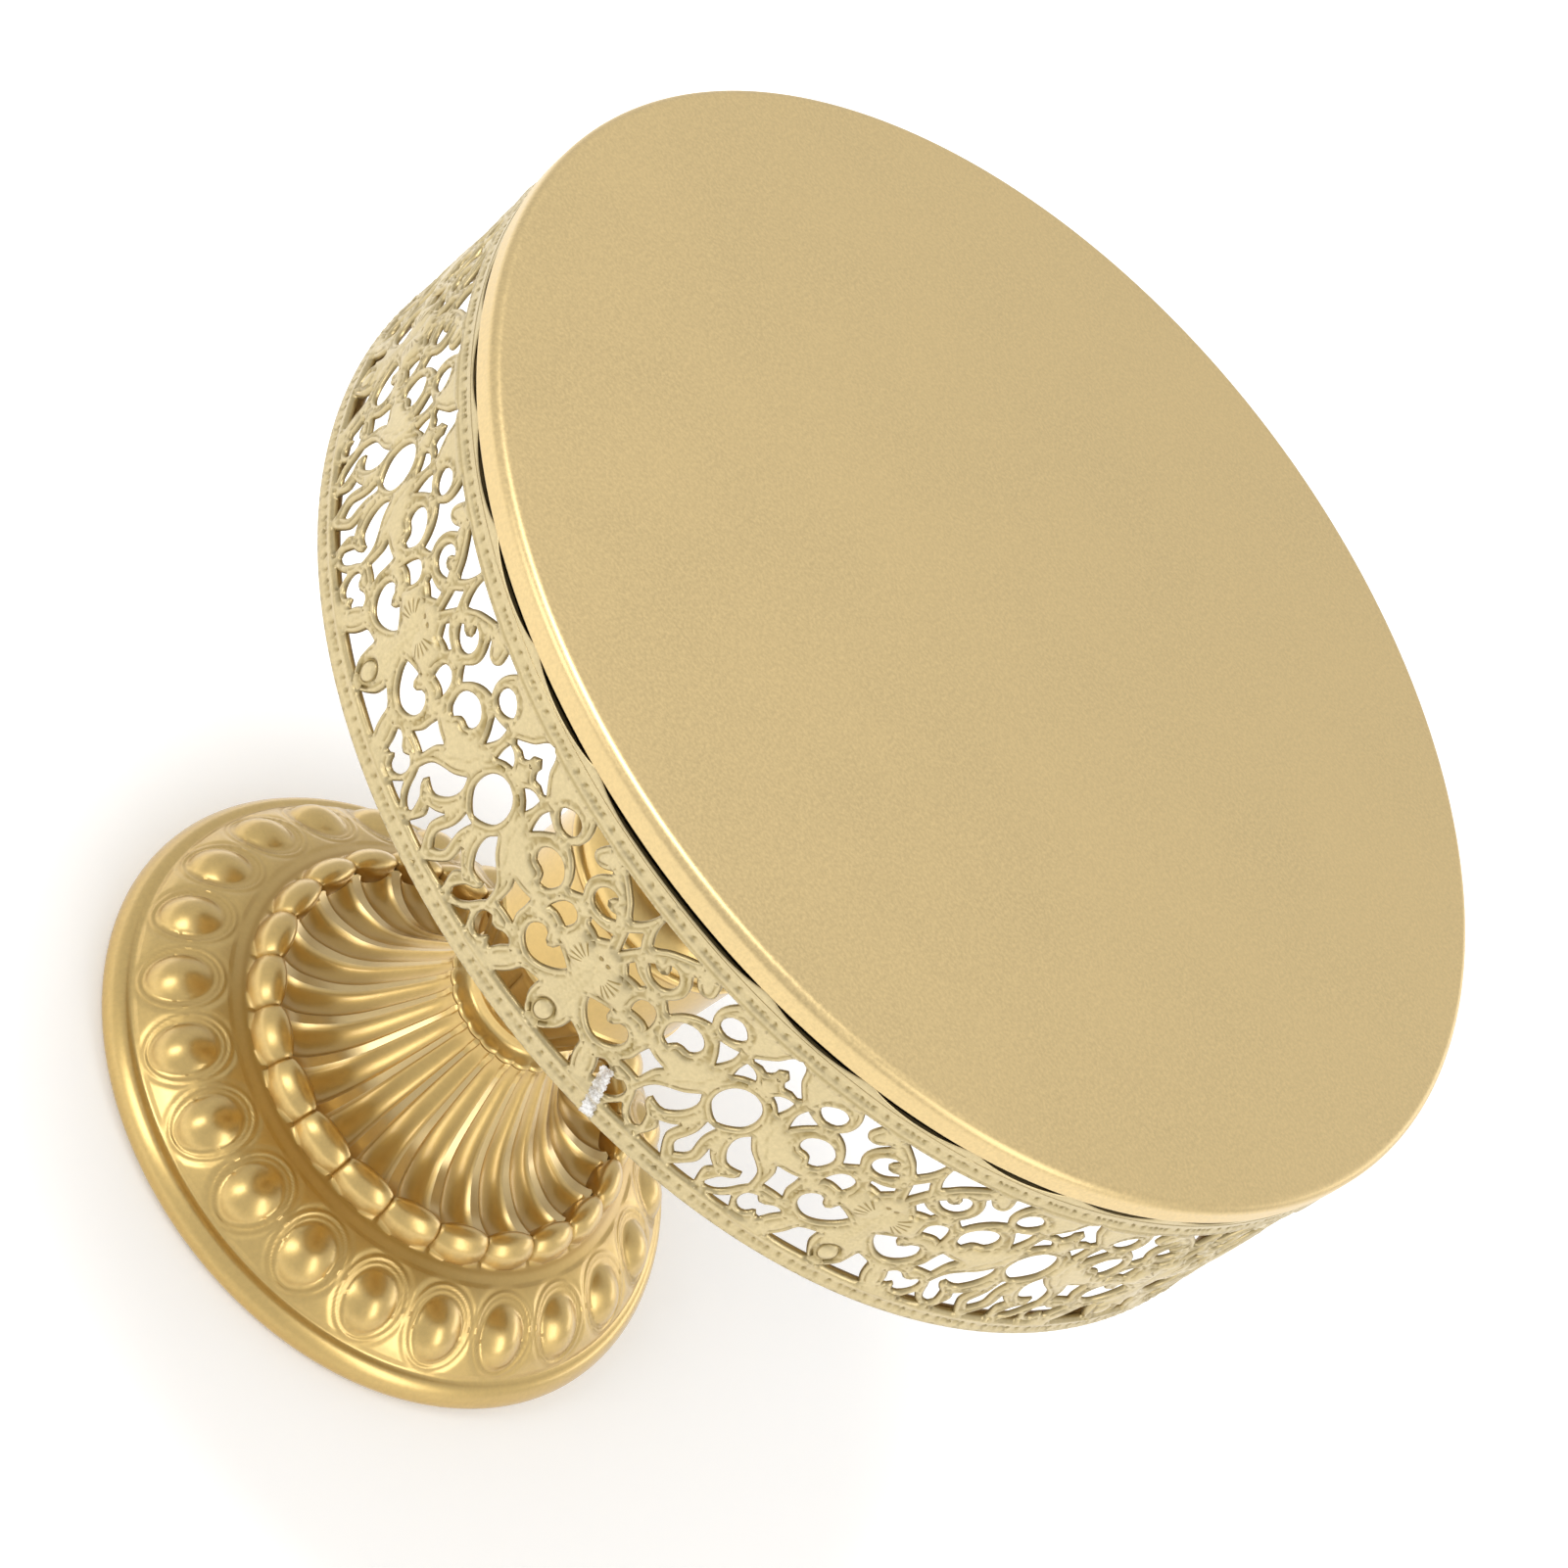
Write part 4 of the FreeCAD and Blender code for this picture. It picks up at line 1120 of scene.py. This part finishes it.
def build_foot(settings):
    """The foot's shell: rolled rim, a shoulder of framed domes, a ring of beads and the stem's ledge."""
    low = level("foot_shell", 0)
    rim = smooth_line([(72.6, low, 1), (74.0, low + 0.15), (75.0, 2.4), (74.6, 4.4), (73.6, 6.1), (72.7, 6.9),
                       (71.8, 7.0), (71.0, 7.3, 1)], 0.8)
    shoulder = smooth_line([(71.0, 7.3), (70.1, 8.4), (67.8, 11.4), (63.5, 15.3), (59.0, 18.1), (54.6, 20.0),
                            (52.2, 21.0), (51.0, 21.5, 1)], 0.42)
    crown = smooth_line([(51.0, 21.5), (51.0, 22.7), (50.3, 25.4), (48.4, 27.5), (46.4, 28.2), (44.8, 27.7),
                         (44.0, 26.3), (43.5, 24.0), (43.4, 20.9, 1), (43.0, 20.5, 1)], 0.75)
    outside = np.concatenate([rim, shoulder[1:], crown[1:], [(39.5, 20.5)]])
    inside = smooth_line([
        (39.5, 18.9, 1), (51.0, 18.9, 1), (54.2, 17.9), (61.6, 14.2), (66.8, 9.4), (69.4, 6.4), (71.6, 4.2),
        (71.9, 2.4, 1),
        (67.8, 2.4, 1), (67.8, low, 1), (70.2, low, 1)], 3.0)
    profile = np.concatenate([outside, inside])
    count = len(outside)
    half = math.pi / settings.lobes
    v = np.full(len(profile), 1e3)
    v[:count] = lengths_from(outside, (63.5, 15.3))
    edge = lengths_from(outside, (51.0, 21.5))
    on_shoulder = np.zeros(len(profile))
    on_shoulder[:count] = smooth_step(v[:count], -10.5, -9.4) * (1 - smooth_step(v[:count], 9.9, 10.8))
    bead = np.zeros(len(profile))
    bead_length = np.full(len(profile), -1e3)
    bead_length[:count] = edge
    bead[:count] = smooth_step(edge, 0.0, 0.6) * (1 - smooth_step(edge, 15.0, 17.0))
    ridge = np.zeros(len(profile))
    ridge[:count] = 0.30 * bell(lengths_from(outside, (71.6, 7.05)), 0.0, 0.5)

    def parts(angle):
        u = angle * profile[:, 0]
        frame_ring = np.sqrt((u / 7.7) ** 2 + ((v + 0.1) / 9.3) ** 2)
        dome = np.sqrt((u / 5.9) ** 2 + ((v + 1.0) / 7.1) ** 2)
        across = np.abs(angle) / half
        return frame_ring, dome, across

    def shift(angle):
        ring, dome, across = parts(angle)
        bump = np.clip(1 - dome ** 2, 0, 1)
        shape = settings.dome_height * (0.85 * bump + 0.15 * bump ** 2)
        shape -= 0.25 * bell(ring, 0.80, 0.10) * smooth_step(dome, 0.85, 1.0)
        shape += 0.24 * bell(ring, 0.99, 0.045) - 0.16 * bell(ring, 0.92, 0.035) + 0.20 * bell(ring, 0.86,
                0.04)
        shape += 0.30 * smooth_step(ring, 1.03, 1.25)
        pillow = -1.6 * across ** 2.3 - 0.3 * smooth_step(across, 0.92, 1.0)
        return on_shoulder * shape + bead * pillow + ridge

    def recess(angle):
        # painted shade round the domes' rings, in the joints between beads, in the crease before the bead
        # ring, on the shoulder beside it and down its inner wall
        ring, dome, across = parts(angle)
        dark = on_shoulder * (0.40 * bell(ring, 0.76, 0.10) * smooth_step(dome, 0.9, 1.1)
                              + 0.40 * bell(ring, 0.925, 0.035) + 0.30 * bell(ring, 1.05, 0.05))
        dark = dark + bead * smooth_step(across, 0.86, 1.0) * 0.9
        dark = dark + 0.85 * bell(bead_length, -0.4, 0.9) + 0.5 * bell(bead_length, -3.0, 3.0)
        dark = dark + 0.9 * smooth_step(bead_length, 13.0, 16.5)
        return np.clip(dark, 0, 1)

    sector_piece("foot_embossed_shell", profile, settings, 36, shift, recess, 55, "foot_shell")


def build_fluted_stem(settings):
    """The trumpet: wide hollow flutes between narrow flat fillets that end in drops under the collar."""
    low = level("fluted_stem", 0)
    top = level("fluted_stem", 1)
    outside = smooth_line([
        (44.9, low + 0.1, 1), (44.9, 25.0, 1), (43.4, 24.2), (41.2, 23.5), (38.4, 23.4), (34.8, 24.3),
        (31.0, 26.1), (27.5, 29.1),
        (24.9, 32.3), (22.0, 36.5), (20.0, 39.6), (18.1, 42.7), (16.5, 45.8), (15.1, top, 1)], 0.55)
    inside = smooth_line([
        (BORE, top, 1), (BORE, 44.0, 1), (13.4, 44.0, 1), (16.3, 41.0), (20.2, 35.0), (23.2, 30.4),
        (26.0, 27.0),
        (29.6, 24.3), (34.2, 22.0), (40.0, low + 0.1, 1)], 1.5)
    profile = np.concatenate([outside, inside])
    count = len(outside)
    half = math.pi / settings.lobes
    height = profile[:, 1]
    shaped = np.zeros(len(profile))
    shaped[:count] = smooth_step(lengths_from(outside, (44.9, 25.0))[:count], 0.2, 1.8)
    shaped[:count] *= 1 - 0.45 * smooth_step(height[:count], 44.0, top)

    def fillet_width(h):
        return 0.27 + 0.10 * bell(h, 47.0, 1.4) - 0.03 * smooth_step(h, 26.0, 40.0)

    def shift(angle):
        across = 1 - np.abs(angle) / half
        wide = fillet_width(height)
        inside_flute = np.clip((across - wide) / (1 - wide), 0, 1)
        hollow = np.sqrt(np.clip(1 - (1 - inside_flute) ** 2, 0, 1))
        depth = settings.flute_depth * np.clip(profile[:, 0] / 30.0, 0.5, 1.3)
        drop = 0.5 * bell(height, 47.2, 1.0) * (across < wide)
        return shaped * (-depth * hollow + drop)

    def recess(angle):
        # painted shade along the fillets' edges and in the flutes, darker towards the foot; painted sheen
        # (negative) on the flat fillets, except near the top
        across = 1 - np.abs(angle) / half
        edge = bell(across, fillet_width(height) + 0.05, 0.045)
        foot = 1 - smooth_step(height, 24.0, 36.0)
        flat = 1 - smooth_step(across, fillet_width(height), fillet_width(height) + 0.07)
        dark = 0.45 * edge + (0.30 + 0.50 * foot) * (1 - flat) - 0.6 * flat * (height < 44.0)
        return np.clip(dark * (shaped > 0), -1, 1)

    sector_piece("fluted_trumpet", profile, settings, 28, shift, recess, 35, "fluted_stem")


def build_collar(settings):
    """A shallow collar with a lobed lip over the top of the flutes."""
    low = 47.6
    top = level("ribbed_calyx", 0)
    outside = smooth_line([
        (15.9, low + 0.7, 1), (16.5, low + 0.9), (16.9, low + 1.6), (16.4, low + 2.3), (15.2, low + 2.9),
        (13.9, low + 3.9),
        (13.4, top, 1)], 0.3)
    inside = smooth_line([(BORE, top, 1), (BORE, 49.0, 1), (15.3, 49.0, 1)], 1.2)
    profile = np.concatenate([outside, inside])
    count = len(outside)
    half = math.pi / settings.lobes
    lip = np.zeros(len(profile))
    lip[:count] = 1 - smooth_step(profile[:count, 1], low + 1.4, low + 3.2)

    def shift(angle):
        across = np.abs(angle) / half
        return lip * 0.5 * (1 - across ** 2) - lip * 0.25

    def recess(angle):
        # painted shade between the lip's lobes
        across = np.abs(angle) / half
        return np.clip(lip * smooth_step(np.full(len(profile), across), 0.8, 1.0) * 0.8, 0, 1)

    sector_piece("petal_lip_collar", profile, settings, 14, shift, recess, 50, "petal_collar")


def build_calyx(settings):
    """The flaring cup over the collar, with rounded ribs."""
    low = level("ribbed_calyx", 0)
    top = level("ribbed_calyx", 1)
    outside = smooth_line([
        (13.4, low, 1), (13.5, low + 0.8), (14.7, 55.6), (17.3, 62.0), (21.0, 70.2), (23.6, 75.6),
        (25.3, 78.6), (25.6, 79.4),
        (25.2, top, 1)], 0.7)
    inside = smooth_line([(23.2, top, 1), (19.2, 70.8), (15.4, 62.6), (12.6, low + 4.5, 1),
                          (BORE, low + 4.5, 1),
                          (BORE, low, 1)], 2.0)
    profile = np.concatenate([outside, inside])
    count = len(outside)
    half = math.pi / settings.lobes
    shaped = np.zeros(len(profile))
    shaped[:count] = smooth_step(profile[:count, 1], 54.6,
                                 57.0) * (1 - smooth_step(profile[:count, 1], 76.0, 78.4))

    def shift(angle):
        across = abs(angle) / half
        return shaped * (0.7 * (1 - across ** 2) - 0.35
                         * smooth_step(np.full(len(profile), across), 0.8, 1.0))

    def recess(angle):
        # painted shade between the ribs
        across = abs(angle) / half
        return shaped * 0.9 * smooth_step(np.full(len(profile), across), 0.7, 1.0)

    sector_piece("gadrooned_calyx", profile, settings, 14, shift, recess, 50, "ribbed_calyx")


def build_turned_stem():
    """The plain turned pieces above the calyx: drum, shoulder, neck ring and flared cup."""
    drum_low, drum_top = level("stem_drum", 0), level("stem_drum", 1)
    neck = level("neck_ring", 0)
    cup_low, cup_top = level("flared_cup", 0), level("flared_cup", 1)
    drum = smooth_line([(25.2, drum_low, 1), (25.15, drum_low + 1.0), (25.4, 92.0), (25.9, drum_top - 0.8),
                        (26.0, drum_top, 1), (24.2, drum_top, 1), (23.6, 92.0), (23.4, drum_low, 1)], 1.2)
    shoulder = smooth_line([
        (26.0, drum_top, 1), (26.5, drum_top + 0.6), (26.6, drum_top + 1.4), (26.1, drum_top + 2.2),
        (25.4, drum_top + 2.6, 1),
        (25.3, 108.5), (22.6, 113.6), (16.8, 118.4), (12.0, neck, 1), (BORE, neck, 1), (BORE, neck - 4.0, 1),
        (9.6, neck - 4.0, 1), (15.4, 116.9), (21.0, 112.4), (23.8, 108.2), (24.2, drum_top, 1)], 0.8)
    ring = smooth_line([(12.6, neck, 1), (14.2, neck + 0.7), (15.1, neck + 2.5), (14.2, cup_low - 0.7),
                        (12.6, cup_low, 1), (BORE, cup_low, 1), (BORE, neck, 1)], 0.6)
    cup = smooth_line([
        (11.6, cup_low, 1), (10.9, 137.0), (12.2, 156.0), (17.6, 178.0), (28.5, 197.0), (38.6, cup_top - 1.4),
        (40.0, cup_top, 1), (37.4, cup_top, 1), (26.6, 198.2), (15.8, 179.0), (10.3, 157.0),
        (9.0, cup_low + 5.0, 1),
        (BORE, cup_low + 5.0, 1), (BORE, cup_low, 1)], 1.4)
    for name, profile, node in (("drum_turned", drum, "stem_drum"),
                                ("shoulder_turned", shoulder, "stem_shoulder"),
                                ("neck_ring_turned", ring, "neck_ring"),
                                ("flared_cup_turned", cup, "flared_cup")):
        thing = lathe(name, profile, 144)
        finish_mesh(thing, 45)
        coat(thing, foot_finish())
        settle(thing, "warm_gold", node)


def build_fittings():
    """Finishes of the CAD pieces that stay: rod, nut, washer, plates, boss and pads."""
    steel = finish_named("plated steel", plated_steel)
    rubber = finish_named("pad rubber", pad_rubber)
    for node in ("tray_backing_plate", "tray_threaded_boss", "foot_plate", "tie_rod", "rod_washer",
                 "rod_nut"):
        coat(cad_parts[node], steel)
    coat(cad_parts["foot_pads"], rubber)


# ---------------------------------------------------------------------------------------------
# Stage
# ---------------------------------------------------------------------------------------------
FLOOR_REACH = 4000
SKY_STRENGTH = 0.74
# side, place, height aimed at, size, power
SOFTBOXES = (("top", (-0.32, -0.05, 1.6), 0.1, (0.6, 0.6), 15),
             ("left", (-1.1, -1.2, 0.9), 0.1, (0.6, 0.9), 7),
             ("right", (1.3, -0.5, 0.9), 0.1, (0.5, 1.2), 6), ("back", (1.0, 1.3, 0.5), 0.15, (1.2, 0.4), 3))


def build_camera(settings):
    """The camera, looking down at the stand and rolled about its line of sight."""
    el, roll = settings.elevation, settings.roll
    back = Vector((0, -math.cos(el), math.sin(el)))
    right = Vector((1, 0, 0))
    up = Vector((0, math.sin(el), math.cos(el)))
    c, s = math.cos(roll), math.sin(roll)
    camera_right = c * right - s * up
    camera_up = s * right + c * up
    target = Vector((0, 0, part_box("tray")[0][2]))
    place = (target + settings.distance * back - settings.offset_right * camera_right
             - settings.offset_up * camera_up)
    turn = Matrix((camera_right, camera_up, back)).transposed().to_4x4()
    data = bpy.data.cameras.new("camera")
    data.lens = settings.lens
    data.sensor_width = 36.0
    data.clip_start = 0.01
    camera = bpy.data.objects.new("camera", data)
    camera.matrix_world = Matrix.Translation(place) @ turn
    bpy.context.scene.collection.objects.link(camera)
    bpy.context.scene.camera = camera


def area_light(name, place, aim, size, energy):
    """A softbox at place, facing aim."""
    data = bpy.data.lights.new(name, "AREA")
    data.shape = "RECTANGLE"
    data.size, data.size_y = size
    data.energy = energy
    light = bpy.data.objects.new(name, data)
    way = Vector(aim) - Vector(place)
    light.rotation_euler = way.to_track_quat("-Z", "Y").to_euler()
    light.location = place
    bpy.context.scene.collection.objects.link(light)


def build_stage(settings):
    """Pale floor, soft sky and softboxes."""
    corners = [(x * FLOOR_REACH, y * FLOOR_REACH, 0) for x, y in ((-1, -1), (1, -1), (1, 1), (-1, 1))]
    floor = new_object("floor", np.array(corners), [(0, 1, 2, 3)])
    coat(floor, finish_named("pale floor", pale_floor, tuple(settings.floor_colour)))
    scene = bpy.context.scene
    scene.world = bpy.data.worlds.new("studio")
    scene.world.use_nodes = True
    sky = scene.world.node_tree.nodes["Background"]
    sky.inputs["Color"].default_value = (1.0, 1.0, 1.0, 1.0)
    sky.inputs["Strength"].default_value = SKY_STRENGTH
    for side, place, aim_height, size, energy in SOFTBOXES:
        area_light(side + " softbox", place, (0, 0, aim_height), size, energy)
    scene.view_settings.view_transform = "Standard"
    build_camera(settings)


# ---------------------------------------------------------------------------------------------
# Operators, panel and registration
# ---------------------------------------------------------------------------------------------
class CAKE_OT_stage(bpy.types.Operator):
    """Adds the floor, the lights and the camera"""
    bl_idname = "cake.stage"
    bl_label = "Stage"

    def execute(self, context):
        build_stage(context.scene.cake_stage)
        return {"FINISHED"}


class CAKE_OT_tray(bpy.types.Operator):
    """Builds the spun tray"""
    bl_idname = "cake.tray"
    bl_label = "Tray"

    def execute(self, context):
        build_tray(context.scene.cake_tray)
        return {"FINISHED"}


class CAKE_OT_lace_band(bpy.types.Operator):
    """Builds the pierced lace band"""
    bl_idname = "cake.lace_band"
    bl_label = "Lace band"

    def execute(self, context):
        build_lace_band(context.scene.cake_band)
        return {"FINISHED"}


class CAKE_OT_band_trim(bpy.types.Operator):
    """Builds the band's tacked upper edge, its wire hoop and the tape over its seam"""
    bl_idname = "cake.band_trim"
    bl_label = "Band trim"

    def execute(self, context):
        build_band_edge()
        build_hoop()
        build_tape()
        return {"FINISHED"}


class CAKE_OT_foot(bpy.types.Operator):
    """Builds the embossed foot"""
    bl_idname = "cake.foot"
    bl_label = "Foot"

    def execute(self, context):
        build_foot(context.scene.cake_foot)
        return {"FINISHED"}


class CAKE_OT_stem(bpy.types.Operator):
    """Builds the fluted trumpet, the collar, the calyx and the turned pieces of the stem"""
    bl_idname = "cake.stem"
    bl_label = "Stem"

    def execute(self, context):
        settings = context.scene.cake_foot
        build_fluted_stem(settings)
        build_collar(settings)
        build_calyx(settings)
        build_turned_stem()
        return {"FINISHED"}


class CAKE_OT_fittings(bpy.types.Operator):
    """Gives the rod, its fittings and the pads their finishes"""
    bl_idname = "cake.fittings"
    bl_label = "Fittings"

    def execute(self, context):
        build_fittings()
        return {"FINISHED"}


class CAKE_PT_panel(bpy.types.Panel):
    """Lists the stand's pieces and their settings"""
    bl_label = "Cake Stand"
    bl_idname = "CAKE_PT_panel"
    bl_space_type = "VIEW_3D"
    bl_region_type = "UI"
    bl_category = "Cake Stand"

    def draw(self, context):
        for group in GROUPS:
            box = self.layout.box()
            settings = getattr(context.scene, group)
            for key in settings.bl_rna.properties.keys():
                if key not in {"rna_type", "name"}:
                    box.prop(settings, key)
        for operator in OPERATORS:
            self.layout.operator(operator.bl_idname)


GROUPS = {"cake_tray": TraySettings, "cake_band": BandSettings, "cake_foot": FootSettings,
          "cake_stage": StageSettings}
OPERATORS = (CAKE_OT_stage, CAKE_OT_tray, CAKE_OT_lace_band, CAKE_OT_band_trim, CAKE_OT_foot, CAKE_OT_stem,
             CAKE_OT_fittings)


def register():
    for name, group in GROUPS.items():
        bpy.utils.register_class(group)
        setattr(bpy.types.Scene, name, bpy.props.PointerProperty(type=group))
    for kind in (*OPERATORS, CAKE_PT_panel):
        bpy.utils.register_class(kind)


def unregister():
    for kind in (CAKE_PT_panel, *reversed(OPERATORS)):
        bpy.utils.unregister_class(kind)
    for name, group in GROUPS.items():
        delattr(bpy.types.Scene, name)
        bpy.utils.unregister_class(group)


def main():
    register()
    for operator in OPERATORS:
        area, action = operator.bl_idname.split(".")
        getattr(getattr(bpy.ops, area), action)()


if __name__ == "__main__":
    main()
